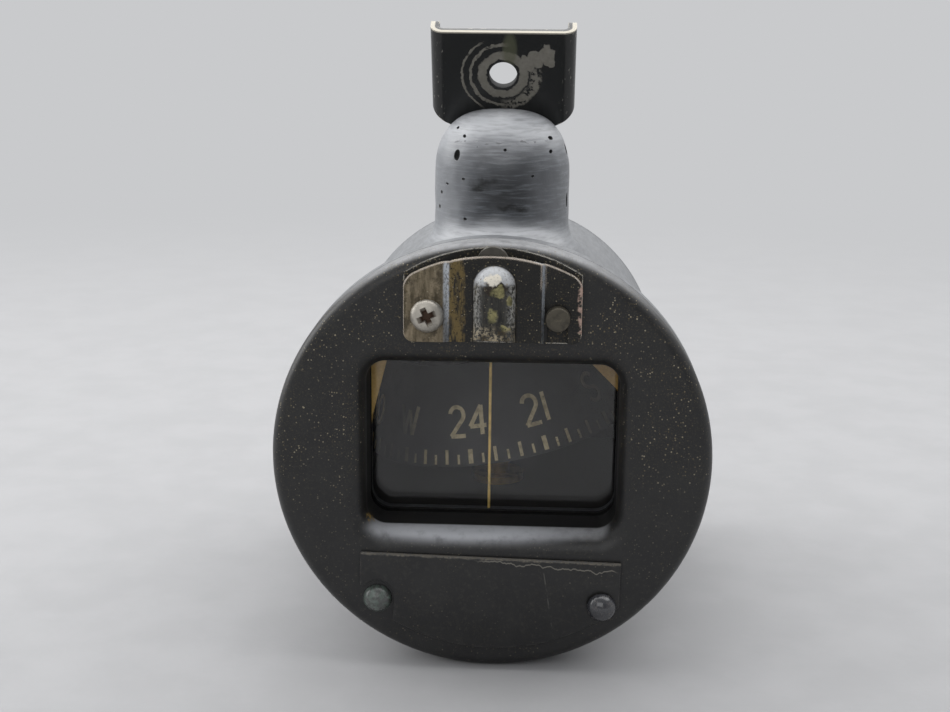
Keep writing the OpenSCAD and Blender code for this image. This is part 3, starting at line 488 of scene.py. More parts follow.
class Graph:
    """A node tree under construction."""

    def __init__(self, tree):
        self.tree = tree

    def add(self, kind, inputs=None, **settings):
        node = self.tree.nodes.new(kind)
        for key, value in settings.items():
            setattr(node, key, value)
        for key, value in (inputs or {}).items():
            self.put(node.inputs[key], value)
        return node

    def put(self, socket, value):
        """Links a field or socket to a socket, or sets it to a number, a list or a colour code."""
        value = value.socket if isinstance(value, Field) else value
        if isinstance(value, bpy.types.NodeSocket):
            self.tree.links.new(value, socket)
        else:
            socket.default_value = linear(value) if isinstance(value, str) else value

    def field(self, kind, output, inputs, **settings):
        return Field(self, self.add(kind, inputs, **settings).outputs[output])

    def math(self, operation, a, b=0.0):
        return self.field("ShaderNodeMath", 0, {0: a, 1: b}, operation=operation)

    def vector(self, operation, a, b=(0, 0, 0), output="Vector"):
        return self.field("ShaderNodeVectorMath", output, {0: a, 1: b}, operation=operation)

    def length(self, vector):
        return self.vector("LENGTH", vector, output="Value")

    def axis(self, index, vector):
        return self.field("ShaderNodeSeparateXYZ", index, {0: vector})

    def mix(self, factor, a, b):
        return self.field("ShaderNodeMix", 2, {0: factor, 6: a, 7: b}, data_type="RGBA")

    def rays(self, *kinds):
        """Mask of the named kinds of light ray."""
        path = self.add("ShaderNodeLightPath")
        masks = [Field(self, path.outputs[f"Is {kind} Ray"]) for kind in kinds]
        return functools.reduce(operator.or_, masks)

    def surface(self, factor, first, second, output="Material Output"):
        """Shows a mix of two shaders."""
        mixed = self.add("ShaderNodeMixShader", {0: factor, 1: first.outputs[0], 2: second.outputs[0]})
        self.put(self.tree.nodes[output].inputs["Surface"], mixed.outputs[0])


class Look(Graph):
    """A procedural material under construction. Its places are in face frame millimetres."""

    def __init__(self, name, color, roughness, metallic=0.0, ior=1.5):
        self.material = bpy.data.materials.new(name)
        self.material.use_nodes = True
        super().__init__(self.material.node_tree)
        self.shader = self.tree.nodes["Principled BSDF"]
        self.coats = {"Base Color": color, "Roughness": roughness, "Metallic": metallic}
        for key, value in (*self.coats.items(), ("IOR", ior)):
            self.put(self.shader.inputs[key], value)
        self.normal = None
        inputs = {0: self.add("ShaderNodeTexCoord").outputs["Object"], 1: (1 / MM, 1 / MM, 1 / MM),
                  2: (0, -FACE_Y / MM, -AXIS_Z / MM)}
        self.place = self.field("ShaderNodeVectorMath", "Vector", inputs, operation="MULTIPLY_ADD")
        self.x, self.d, self.z = [self.axis(k, self.place) for k in range(3)]

    def stretched(self, factors):
        return self.vector("MULTIPLY", self.place, factors)

    def noise(self, size, detail=4.0, rough=0.55, stretch=None):
        """Noise whose features are about size millimetres across."""
        place = self.stretched(stretch) if stretch else self.place
        inputs = {"Vector": place, "Scale": 1 / size, "Detail": detail, "Roughness": rough}
        return self.field("ShaderNodeTexNoise", "Fac", inputs)

    def specks(self, spacing, radius, share):
        """Round dots on a loose grid: their mask, and a random value for each dot."""
        cells = self.add("ShaderNodeTexVoronoi", {"Vector": self.place, "Scale": 1 / spacing}).outputs
        chance, size, tint = [self.axis(k, cells["Color"]) for k in range(3)]
        dot = self.math("LESS_THAN", cells["Distance"], size * (radius / spacing))
        return dot * self.math("LESS_THAN", chance, share), tint

    def warped(self, size, reach):
        """The place, pushed about by noise of the given size, up to reach millimetres."""
        inputs = {"Vector": self.place, "Scale": 1 / size, "Detail": 4.0}
        color = self.add("ShaderNodeTexNoise", inputs).outputs["Color"]
        centred = self.vector("SUBTRACT", color, (0.5, 0.5, 0.5))
        push = self.vector("MULTIPLY", centred, (4 * reach, 4 * reach, 4 * reach))
        return self.vector("ADD", self.place, push)

    def spot(self, centre, radii, soft=0.6, place=None):
        """Soft ellipsoid mask about a place."""
        away = self.vector("SUBTRACT", place or self.place, centre)
        return self.length(self.vector("DIVIDE", away, radii)).fit(1.0, 1.0 - soft)

    def edges(self, radius, low=0.01, high=0.12):
        """Mask of the edges, from how far rounding would turn the normal there."""
        rounded = self.add("ShaderNodeBevel", {"Radius": radius * MM}, samples=6).outputs[0]
        plain = self.add("ShaderNodeNewGeometry").outputs["Normal"]
        return (1.0 - self.vector("DOT_PRODUCT", rounded, plain, "Value")).fit(low, high)

    def facing(self, low, high, axis=2):
        """Mask from the way a surface faces, which is up unless another axis is named."""
        return self.axis(axis, self.add("ShaderNodeNewGeometry").outputs["Normal"]).fit(low, high)

    def layer(self, mask, color=None, roughness=None, metallic=None):
        """Lays a coat over what is there, where the mask is 1."""
        for key, value in zip(self.coats, (color, roughness, metallic)):
            if value is None:
                continue
            below = self.coats[key]
            if key == "Base Color":
                self.coats[key] = self.mix(mask, below, value)
            else:
                inputs = {0: mask, 2: below, 3: value}
                self.coats[key] = self.field("ShaderNodeMix", 0, inputs, data_type="FLOAT")
            self.put(self.shader.inputs[key], self.coats[key])

    def bump(self, height, depth):
        """Raises the surface by depth millimetres where height is 1."""
        node = self.add("ShaderNodeBump", {"Height": height, "Distance": depth * MM, "Strength": 1.0})
        if self.normal is not None:
            self.put(node.inputs["Normal"], self.normal)
        self.normal = node.outputs[0]
        self.put(self.shader.inputs["Normal"], self.normal)


def dust(look, share):
    """Fine pale and golden specks, thicker above the window than below it."""
    density = look.z.fit(-16.0, 12.0, 0.25, 1.0) * look.noise(9.0, 3.0).fit(0.38, 0.6, 0.35, 1.0)
    film = look.noise(0.3, 3.0, 0.6).fit(0.54, 0.66)
    look.layer(film * density * 0.55, "#544b37", 0.75)
    for spacing, radius, part in ((0.38, 0.13, share), (0.9, 0.16, share * 0.8), (3.0, 0.24, share * 0.5)):
        mask, tint = look.specks(spacing, radius, part)
        look.layer(mask * density, look.mix(tint, "#5f5339", "#a39a84"), 0.8)


def black_paint(name, dusty=0.4, top_dust_and_highlight=1.0):
    """Flat black paint with a fine grain, rubbed edges and dust, with up-facing surfaces painted pale as
    dust lying on them and a painted highlight.
    """
    look = Look(name, "#181819", 0.36)
    look.layer(look.noise(6.0, 5.0).fit(0.35, 0.7), "#1f1f1f", 0.4)
    look.layer(look.noise(0.8, 3.0).fit(0.5, 0.75), "#272624")
    look.layer(look.edges(0.5) * look.noise(1.6).fit(0.4, 0.62), "#5a5954", 0.4)
    # Up-facing surfaces painted pale: dust lying on them and a painted highlight.
    dust_and_top_highlight = look.facing(0.6, 0.98) * look.noise(1.8, 5.0).fit(0.25, 0.6, 0.6, 1.0)
    look.layer(dust_and_top_highlight * top_dust_and_highlight, "#8d8e90", 0.45)
    dust(look, dusty)
    look.bump(look.noise(0.45, 3.0, 0.6), 0.018)
    look.bump(look.noise(2.4), 0.03)
    return look


def plated(name, code, roughness):
    """Metal with a light tarnish and fine turning marks."""
    look = Look(name, code, roughness, 1.0)
    look.layer(look.noise(1.1, 5.0, 0.6).fit(0.42, 0.7), shaded(code, 0.72), roughness + 0.14)
    look.layer(look.noise(0.35, 3.0).fit(0.55, 0.75), roughness=roughness + 0.1)
    look.bump(look.noise(0.22, 3.0), 0.012)
    return look


# Camera, lights and floor

PHOTO_W = 950
PHOTO_H = 712
FOCAL_PX = 1500
FACE_PX = (492.2, 462.9)
VIEW_DISTANCE = 251.1
VIEW_ELEVATION = math.radians(17.6)
VIEW_AZIMUTH = math.radians(1.85)
VIEW_ROLL = math.radians(0.75)
SENSOR_W = 36.0
SURROUND = "#c9cacc"
DIM_FRONT = "#77787a"
FILL = "#b4b5b8"
FLOOR_R = 4000.0
FLOOR_FADE = (120.0, 620.0)


def make_camera():
    """The photograph's view: the face's centre falls on FACE_PX."""
    level = math.cos(VIEW_ELEVATION)
    across, along = math.sin(VIEW_AZIMUTH), -math.cos(VIEW_AZIMUTH)
    back = Vector((across * level, along * level, math.sin(VIEW_ELEVATION)))
    forward = -back
    right = forward.cross(Vector((0, 0, 1))).normalized()
    up = right.cross(forward)
    offset = Vector(((FACE_PX[0] - PHOTO_W / 2) / FOCAL_PX, (PHOTO_H / 2 - FACE_PX[1]) / FOCAL_PX, 1))
    turn = Vector((0, 0, 1)).rotation_difference(offset.normalized()).to_matrix()
    axes = [turn[k][0] * right + turn[k][1] * up + turn[k][2] * forward for k in range(3)]
    side = math.cos(VIEW_ROLL) * axes[0] + math.sin(VIEW_ROLL) * axes[1]
    top = math.cos(VIEW_ROLL) * axes[1] - math.sin(VIEW_ROLL) * axes[0]
    data = bpy.data.cameras.new("photo_camera")
    data.sensor_fit = "HORIZONTAL"
    data.sensor_width = SENSOR_W
    data.lens = SENSOR_W * FOCAL_PX / PHOTO_W
    data.clip_start = 0.005
    camera = new_object("photo_camera", data)
    matrix = Matrix((side, top, -axes[2])).transposed().to_4x4()
    matrix.translation = TO_ROW @ Vector((0, 0, 0)) + back * VIEW_DISTANCE * MM
    camera.matrix_world = matrix
    bpy.context.scene.camera = camera


def make_light(name, direction, distance, width, length, radiance):
    """An oblong soft light that looks at the middle of the object. Its sizes are in metres."""
    centre = (cad_box[0] + cad_box[1]) / 2
    data = bpy.data.lights.new(name, "AREA")
    data.shape = "RECTANGLE"
    data.size = width
    data.size_y = length
    data.energy = radiance * math.pi * width * length
    light = new_object(name, data)
    light.visible_camera = False
    place = centre + Vector(direction).normalized() * distance
    aim = (centre - place).to_track_quat("-Z", "Y").to_matrix().to_4x4()
    light.matrix_world = Matrix.Translation(place) @ aim


def make_world():
    """A grey fill for lighting, and a pale surround to look at, dimmer in front for what gloss shows."""
    world = bpy.data.worlds.new("studio")
    bpy.context.scene.world = world
    world.use_nodes = True
    graph = Graph(world.node_tree)
    across = graph.axis(1, graph.add("ShaderNodeTexCoord").outputs["Generated"])
    front = across.fit(-0.2, -0.9, ease="LINEAR")
    seen = graph.tree.nodes["Background"]
    graph.put(seen.inputs["Color"], graph.mix(front * graph.rays("Glossy"), SURROUND, DIM_FRONT))
    fill = graph.add("ShaderNodeBackground", {"Color": FILL})
    graph.surface(graph.rays("Camera", "Glossy", "Transmission"), fill, seen, "World Output")


def make_floor():
    """A plain pale floor under the bezel's rim."""
    low = (cad_box[0].z - AXIS_Z) / MM
    ring = [(x, d, low) for x, d in circle(FLOOR_R, 96)]
    floor = shape("floor", ring, [tuple(range(len(ring)))])
    floor.data.transform(TO_ROW)
    look = Look("floor_paint", "#a9a9aa", 0.9)
    look.layer(look.noise(14.0, 6.0).fit(0.3, 0.7), "#aeaeaf")
    look.bump(look.noise(1.2, 5.0), 0.03)
    glow = look.add("ShaderNodeEmission", {"Color": SURROUND})
    far = look.length(look.stretched((1, 1, 0))).fit(*FLOOR_FADE)
    look.surface(look.rays("Camera", "Glossy", "Transmission") * far, look.shader, glow)
    floor.data.materials.append(look.material)


# Bezel

def window_ring(depth, half_w, half_h, corner):
    return [(x, depth, WINDOW_RISE + z) for x, z in rounded_rect(half_w, half_h, corner)]


def grown_window(depth, grow):
    return window_ring(depth, WINDOW_HALF_W + grow, WINDOW_HALF_H + grow, WINDOW_CORNER + grow)


def circle_ring(depth, radius, like):
    """A circle with a point in the direction of each point of another ring."""
    angles = [math.atan2(z, x) for x, d, z in like]
    return [(radius * math.cos(a), depth, radius * math.sin(a)) for a in angles]


def make_bezel():
    rings = []
    for sine, cosine in quarter(12):
        grow = 1 - sine
        rings.append(window_ring(LIP_DEPTH * (1 - cosine), WINDOW_HALF_W + LIP_SIDE * grow,
                                 WINDOW_HALF_H + LIP_END * grow, WINDOW_CORNER + LIP_SIDE * grow))
    rings.append(grown_window(BOSS_BACK, 0))
    rings.append(grown_window(BOSS_BACK, BOSS_GROW))
    rings.append(grown_window(BEZEL_THICK, BOSS_GROW))
    like = rings[0]
    rings.append(circle_ring(BEZEL_THICK, BEZEL_R - BEZEL_EDGE, like))
    rings.append(circle_ring(BEZEL_THICK - BEZEL_EDGE, BEZEL_R, like))
    for sine, cosine in quarter(8):
        rings.append(circle_ring(RIM_ROUND * (1 - sine), BEZEL_R - RIM_ROUND * (1 - cosine), like))
    bezel = loft("bezel_casting", rings, joined=True)
    slot = rounded_rect(ACCESS_HALF_W, ACCESS_HALF_H, ACCESS_CORNER, 8, 2)
    cut(bezel, prism("access_slot", [(x, ACCESS_Z + z) for x, z in slot], -1, BEZEL_THICK + 1))
    finish_piece(bezel, "case", "bezel_paint", [bezel_look()], "bezel")


def bezel_look():
    """Black paint, with dust and a painted highlight on the window's lower lip, painted shade on the
    window's inner wall, and dirt caught in its lower corners.
    """
    look = black_paint("bezel_black")
    # The window's lower lip painted pale grey: dust and a painted highlight.
    lip = look.spot((-5.0, 2.4, -13.0), (25.0, 4.0, 3.1), 0.7) * look.facing(0.1, 0.75)
    look.layer(lip * look.noise(1.6, 5.0).fit(0.2, 0.55, 0.55, 1.0), "#aeb0b4", 0.4)
    # Painted shade: the window's inner wall, deep in the recess, darkened to near black.
    wall = look.d.fit(3.7, 4.3) * abs(look.x).fit(24.0, 22.5) * abs(look.z).fit(20.0, 18.0)
    look.layer(wall, "#0b0b0b", 0.6)
    flaky = look.warped(0.8, 0.4)
    for centre in ((-20.0, 3.0, -10.9), (18.6, 2.6, -11.0)):
        dirt = look.spot(centre, (1.5, 2.2, 1.3), 0.5, flaky) * look.noise(0.4, 3.0).fit(0.45, 0.6)
        look.layer(dirt, "#8a7138", 0.85)
    return look.material


# Compensator's cover

def cover_outline():
    """Straight top, round lower edge, and a notch round the stop screw."""
    notch_right = NOTCH_R - COVER_SCREW_X
    corner_z = -math.sqrt(COVER_ARCH ** 2 - COVER_HALF ** 2)
    start = math.degrees(math.atan2(corner_z, COVER_HALF))
    end = -180 + math.degrees(math.acos(-notch_right / COVER_ARCH))
    shoulder = math.degrees(math.asin(NOTCH_RISE / NOTCH_R))
    points = [(-COVER_HALF, COVER_TOP), (COVER_HALF, COVER_TOP)]
    points += arc(0, 0, COVER_ARCH, COVER_ARCH, start, end, 72)
    points += arc(-COVER_SCREW_X, COVER_SCREW_Z, NOTCH_R, NOTCH_R, 0, 180 - shoulder, 24)
    return points + [(-COVER_HALF, COVER_SCREW_Z + NOTCH_RISE)]


def make_cover():
    plate = prism("adjuster_cover", cover_outline(), COVER_FRONT, COVER_REAR)
    pivot = Vector((COVER_SCREW_X, 0, COVER_SCREW_Z))
    swing = Matrix.Translation(pivot) @ Matrix.Rotation(COVER_SWING, 4, "Y") @ Matrix.Translation(-pivot)
    plate.data.transform(swing)
    round_edges(plate, 0.22)
    finish_piece(plate, "cover", "bezel_paint", [cover_look()], "compensator_cover")


def cover_look():
    """Black paint, chipped along the top edge, with a lifted paint line and a long scratch."""
    look = black_paint("cover_black", 0.16, 0.4)
    slope = math.tan(COVER_SWING)
    below = look.x * -slope + (COVER_TOP + COVER_SCREW_X * slope) - look.z
    chips = (below + look.noise(1.4) * 0.9).fit(0.8, 0.42)
    look.layer(chips * look.noise(0.5, 2.0).fit(0.3, 0.6), "#6a655b", 0.7)
    wave = (look.noise(3.2, 3.0, 0.6, (1, 0, 0)) - 0.5) * 3.2
    drop = look.x.fit(-2.0, 21.0, 0.5, 1.5) + wave
    line = abs(below - drop).fit(0.16, 0.05) * look.x.fit(-3.0, 0.0) * look.x.fit(22.0, 20.5)
    look.layer(line, "#6d6a62", 0.6)
    scratch = abs(look.z * 0.16 + look.x - 6.2).fit(0.14, 0.04)
    look.layer(scratch * look.noise(2.2, 3.0).fit(0.42, 0.62), "#4a4945", 0.5)
    look.bump(line, 0.05)
    return look.material


# Lamp tray

def tray_front(x, z):
    """Depth of the tray's front: flat tabs, a raised middle, and a round-topped hump on it."""
    left = smooth((x - RAISED_LEFT) / STEP_LEFT + 0.5)
    right = smooth((RAISED_RIGHT - x) / STEP_RIGHT + 0.5)
    level = TAB_FRONT - TRAY_RAISE * min(left, right)
    over = max(0.0, z - HUMP_DOME_Z)
    inside = HUMP_R ** 2 - (x - HUMP_X) ** 2 - over * over
    if inside <= 0:
        return level
    return smooth_min(level, HUMP_AXIS - math.sqrt(inside), HUMP_FILLET)


def tray_columns():
    """Places across the tray, close together on the steps and on the hump's sides."""
    corner = [TRAY_HALF - TRAY_CORNER * (1 - math.sin(math.radians(a))) for a in range(0, 91, 9)]
    sides = [HUMP_R * math.sin(math.radians(a)) for a in range(0, 88, 4)] + [HUMP_R * 1.01, HUMP_R * 1.04]
    places = corner + [-x for x in corner] + [HUMP_X + x for x in sides] + [HUMP_X - x for x in sides]
    for middle, wide in ((RAISED_LEFT, STEP_LEFT), (RAISED_RIGHT, STEP_RIGHT)):
        places += [middle + wide * (k / 10 - 0.5) for k in range(11)]
    places += [TRAY_PITCH * k for k in range(-21, 22) if abs(TRAY_PITCH * k) > HUMP_R + TRAY_PITCH]
    columns = []
    for x in sorted(places):
        if not columns or x - columns[-1] > 0.01:
            columns.append(x)
    return columns


def tray_ends(x):
    """Lowest and highest z of the tray at x: its corners are round and its low edge is cut on a slope."""
    inset = max(0.0, abs(x) - (TRAY_HALF - TRAY_CORNER))
    lift = TRAY_CORNER - math.sqrt(max(TRAY_CORNER ** 2 - inset ** 2, 0.0))
    top = TRAY_TOP - TRAY_ARCH + math.sqrt(TRAY_ARCH ** 2 - x * x)
    slope = LOW_SLOPE * (TAB_FRONT - tray_front(x, TRAY_LOW))
    return TRAY_LOW + lift + slope, top - 0.8 * lift


def make_tray():
    rows = 110
    rings = []
    for x in tray_columns():
        low, high = tray_ends(x)
        heights = [low + (high - low) * k / rows for k in range(rows + 1)]
        rings.append([(x, tray_front(x, z), z) for z in heights])
    tray = loft("lamp_tray_pressing", rings, around=False)
    if tray.data.polygons[0].normal.y > 0:
        tray.data.flip_normals()
    thicken(tray, TRAY_SHEET)
    half = TRAY_SLOT_W / 2
    slot = [(TRAY_SCREW_X - half, TRAY_LOW - 2), (TRAY_SCREW_X + half, TRAY_LOW - 2)]
    slot += arc(TRAY_SCREW_X, TRAY_SCREW_Z, half, half, 0, 180, 24)
    cut(tray, prism("tray_slot", slot, TAB_FRONT - 2, 1))
    hole = arc(-TRAY_SCREW_X, TRAY_SCREW_Z, TRAY_HOLE_R, TRAY_HOLE_R, 0, 345, 23)
    cut(tray, prism("tray_hole", hole, TAB_FRONT - 2, 1))
    round_edges(tray, 0.12, 2, 50)
    finish_piece(tray, "case", "tray_paint", [tray_look()], "light_tray", crease=50)


def tray_look():
    """Black paint worn to brown sheet on the left, chipped on the hump, and bare along its edges; the hump's
    sides carry a painted reflection, and its top and the tray's upper edge a painted highlight.
    """
    look = Look("tray_worn_black", "#131312", 0.32, ior=1.42)
    x, depth, z = look.x, look.d, look.z
    wide = abs(x)
    mottle = look.noise(2.2, 6.0, 0.65)
    fine = look.noise(0.5, 5.0, 0.65)
    streak = look.noise(1.2, 6.0, 0.65, (1.6, 1, 0.3))
    torn = look.warped(1.3, 0.5)
    torn_x = look.axis(0, torn)
    look.layer(mottle.fit(0.42, 0.7), "#1e1c19", 0.44)
    left = x.fit(-7.4, -8.4) * mottle.fit(0.2, 0.45, 0.6, 1.0)
    look.layer(left, look.mix(streak.fit(0.3, 0.7), "#4f4735", "#92856f"), 0.36, 0.45)
    look.layer(left * look.noise(2.6, 6.0, 0.65).fit(0.48, 0.62) * 0.75, "#342d1e", 0.5, 0.2)
    strip = torn_x.fit(-4.2, -4.8) * torn_x.fit(-7.2, -6.8)
    look.layer(strip * streak.fit(0.4, 0.54), "#6c5c38", 0.5, 0.25)
    look.layer(strip * fine.fit(0.52, 0.64), "#14120e", 0.5)
    halfway = abs(depth + (TRAY_RAISE / 2 - TAB_FRONT)).fit(0.74, 0.45)
    step = halfway * wide.fit(6.4, 6.8) * fine.fit(0.36, 0.54, 0.3, 1.0) * z.fit(22.0, 27.0, 0.3, 1.0)
    look.layer(step, "#b5bbc2", 0.4, 0.4)
    front = depth.fit(-3.4, -4.0)
    look.layer(front, look.mix(streak.fit(0.35, 0.65), "#161615", "#383733"), 0.3)
    # The hump's sides speckled pale: chipped paint and a painted reflection.
    flank_chips_and_reflection = front * abs(x - HUMP_X).fit(1.7, 2.9) * fine.fit(0.43, 0.56)
    look.layer(flank_chips_and_reflection, look.mix(streak, "#5b5d5f", "#bab8b1"), 0.38, 0.2)
    # The hump's top painted pale grey: worn paint and a painted highlight.
    crown = front * (z + mottle * 2.4).fit(31.8, 32.9)
    look.layer(crown, look.mix(fine, "#9a9c9f", "#c2c4c6"), 0.42, 0.2)
    look.layer(look.spot((0.5, -5.6, 30.6), (2.3, 2.2, 1.2), 0.3, torn), "#241b12", 0.5)
    cream = look.spot((0.1, -5.0, 32.0), (1.8, 2.8, 1.0), 0.3, torn) * fine.fit(0.25, 0.4)
    look.layer(cream, "#ded8ca", 0.5, 0.1)
    olive = look.mix(mottle.fit(0.4, 0.6), "#5c593a", "#918b60")
    for centre, radii in (((1.0, -6.0, 30.1), (1.3, 1.8, 1.1)), ((0.0, -6.0, 26.4), (1.1, 1.8, 1.4)),
                          ((2.9, -4.9, 28.7), (0.6, 1.8, 1.2)), ((2.1, -5.6, 24.2), (1.1, 1.8, 0.5))):
        look.layer(look.spot(centre, radii, 0.4, torn) * fine.fit(0.34, 0.44), olive, 0.5, 0.1)
    foot = front * z.fit(25.4, 22.8) * fine.fit(0.46, 0.56)
    look.layer(foot, look.mix(mottle.fit(0.35, 0.65), "#3f3522", "#b3a68c"), 0.5, 0.2)
    clear = z.fit(34.4, 34.8) | wide.fit(4.6, 5.0)
    # The tray's upper edge painted pale: bare metal and a painted highlight; the end edges are bare metal.
    arch = look.edges(0.6, 0.015, 0.08) * z.fit(29.6, 31.0) * clear * mottle.fit(0.3, 0.44, 0.6, 1.0)
    side = look.edges(0.25, 0.02, 0.12) * wide.fit(13.7, 14.1) * z.fit(21.6, 22.6)
    look.layer(arch | side, look.mix(fine, "#cbb39d", "#f8f3e9"), 0.36, 0.15)
    copper = torn_x.fit(13.6, 14.0) * x.fit(12.8, 13.4) * mottle.fit(0.47, 0.56)
    look.layer(copper, look.mix(fine, "#84685a", "#d6bcae"), 0.45, 0.4)
    dust(look, 0.4)
    look.bump(fine, 0.02)
    look.bump(mottle, 0.05)
    return look.material


# Screws

def lathe_head(name, profile, steps=72):
    """A turned solid whose profile runs from the top of the head to the end of the shank."""
    return lathe(name, [(0.0, profile[0][1])] + profile + [(0.0, profile[-1][1])], steps)


def cross_cutter(top):
    """A cross with tapered arms, sunk into the top of a head."""
    bars = []
    for upright in (False, True):
        rings = []
        for depth, along, across in ((top - 0.6, 1, 1), (top, 1, 1), (top + CROSS_DEEP, *CROSS_TAPER)):
            x, z = CROSS_ARM * along, CROSS_W / 2 * across
            if upright:
                x, z = z, x
            rings.append([(-x, depth, -z), (x, depth, -z), (x, depth, z), (-x, depth, z)])
        bar = loft("bar", rings)
        close_ends(bar)
        bars.append(bar)
    combine(bars[0], bars[1], "UNION")
    return bars[0]


def make_cross_screw():
    """Bright pan head on the left of the tray, its cross recess turned as it was left."""
    profile = []
    for k in range(1, 15):
        a = PAN_SWEEP * k / 14
        drop = PAN_CROWN * (1 - math.cos(a)) / (1 - math.cos(PAN_SWEEP))
        profile.append((PAN_R * math.sin(a), drop - PAN_H))
    profile += [(PAN_R, -PAN_BRIM), (PAN_R - UNDER_EDGE, 0.0), (SHANK_R, 0.0), (SHANK_R, TRAY_SHANK)]
    screw = lathe_head("tray_screw_cross", profile)
    cutter = cross_cutter(-PAN_H - 0.02)
    cutter.data.transform(Matrix.Rotation(CROSS_TURN, 4, "Y"))
    cut(screw, cutter)
    round_edges(screw, 0.07, 2, 35)
    screw.data.transform(Matrix.Translation((-TRAY_SCREW_X, TAB_FRONT, TRAY_SCREW_Z)))
    look = plated("bright_plating", "#bdb8ae", 0.44)
    middle = look.spot((-TRAY_SCREW_X, TAB_FRONT - 0.8, TRAY_SCREW_Z), (1.9, 1.2, 1.9), 0.2)
    look.layer(look.d.fit(TAB_FRONT - 1.3, TAB_FRONT - 0.7) * middle, "#4a3628", 0.7, 0.3)
    finish_piece(screw, "case", "bright_screw", [look.material], "light_screw_left")


def make_flat_screw():
    """Dull fillister head on the right of the tray, its slot filled with paint but for a nick."""
    profile = [(FLAT_R - 0.35, 0.02 - FLAT_H), (FLAT_R - 0.12, 0.08 - FLAT_H), (FLAT_R, 0.28 - FLAT_H),
               (FLAT_R, -0.1), (FLAT_R - UNDER_EDGE, 0.0), (SHANK_R, 0.0), (SHANK_R, TRAY_SHANK)]
    screw = lathe_head("tray_screw_flat", profile)
    half, deep, slim = NICK
    cut(screw, block("nick", (-half, -FLAT_H - 1, -slim), (half, -FLAT_H + deep, slim)))
    round_edges(screw, 0.05, 2, 35)
    screw.data.transform(Matrix.Translation((TRAY_SCREW_X, TAB_FRONT, TRAY_SCREW_Z)))
    look = Look("dull_plating", "#524d42", 0.46, 0.4)
    look.layer(look.noise(0.9, 5.0).fit(0.4, 0.7), "#423e36", 0.56)
    grain = look.noise(0.35, 2.0)
    look.layer(look.edges(0.12) * grain.fit(0.35, 0.6), "#8d8570", 0.4)
    look.bump(grain, 0.02)
    finish_piece(screw, "case", "dull_screw", [look.material], "light_screw_right")


def make_domed_screw(name, node, x, seat, material):
    """Round-headed screw of the cover, painted over, so that it shows no slot."""
    rise = DOME_H - DOME_BRIM
    ball = (DOME_R ** 2 + rise ** 2) / (2 * rise)
    angles = [math.asin(DOME_R / ball) * k / 16 for k in range(1, 17)]
    profile = [(ball * math.sin(a), ball * (1 - math.cos(a)) - DOME_H) for a in angles]
    profile += [(DOME_R, -0.05), (DOME_R - 0.05, 0.0), (SHANK_R, 0.0), (SHANK_R, COVER_SHANK_END - seat)]
    screw = lathe_head(name, profile)
    screw.data.transform(Matrix.Translation((x, seat, COVER_SCREW_Z)))
    finish_piece(screw, "case", "cover_screw", [material], node)


def stop_screw_look():
    """Mottled grey-green paint."""
    look = Look("stop_screw_paint", "#474a47", 0.26, ior=1.7)
    look.layer(look.noise(0.9, 5.0).fit(0.4, 0.65), "#59655e", 0.32)
    look.layer(look.noise(0.5).fit(0.52, 0.7), "#383834", 0.5)
    look.bump(look.noise(0.8), 0.05)
    return look.material


def pivot_screw_look():
    """Dark glossy paint."""
    look = Look("pivot_screw_paint", "#2e2f33", 0.18, ior=1.8)
    look.layer(look.noise(0.8, 5.0).fit(0.5, 0.7), "#4a4543", 0.4)
    look.bump(look.noise(0.9, 3.0), 0.05)
    return look.material


def slotted_screw(radius, height, shank, length, slot):
    """Cheese-head screw along +d, the head's underside at 0."""
    edge = radius * 0.12
    profile = [(radius - edge, -height), (radius, -height + edge), (radius, -0.04), (radius - 0.04, 0.0),
               (shank, 0.0), (shank, length)]
    screw = lathe_head("head", profile, 48)
    cut(screw, block("slot", (-radius - 1, -height - 1, -slot / 2), (radius + 1, -height * 0.55, slot / 2)))
    return screw


def facing_back(place, turn):
    """A screw driven from behind, turned about its own axis."""
    return Matrix.Translation(place) @ Matrix.Rotation(math.pi, 4, "Z") @ Matrix.Rotation(turn, 4, "Y")


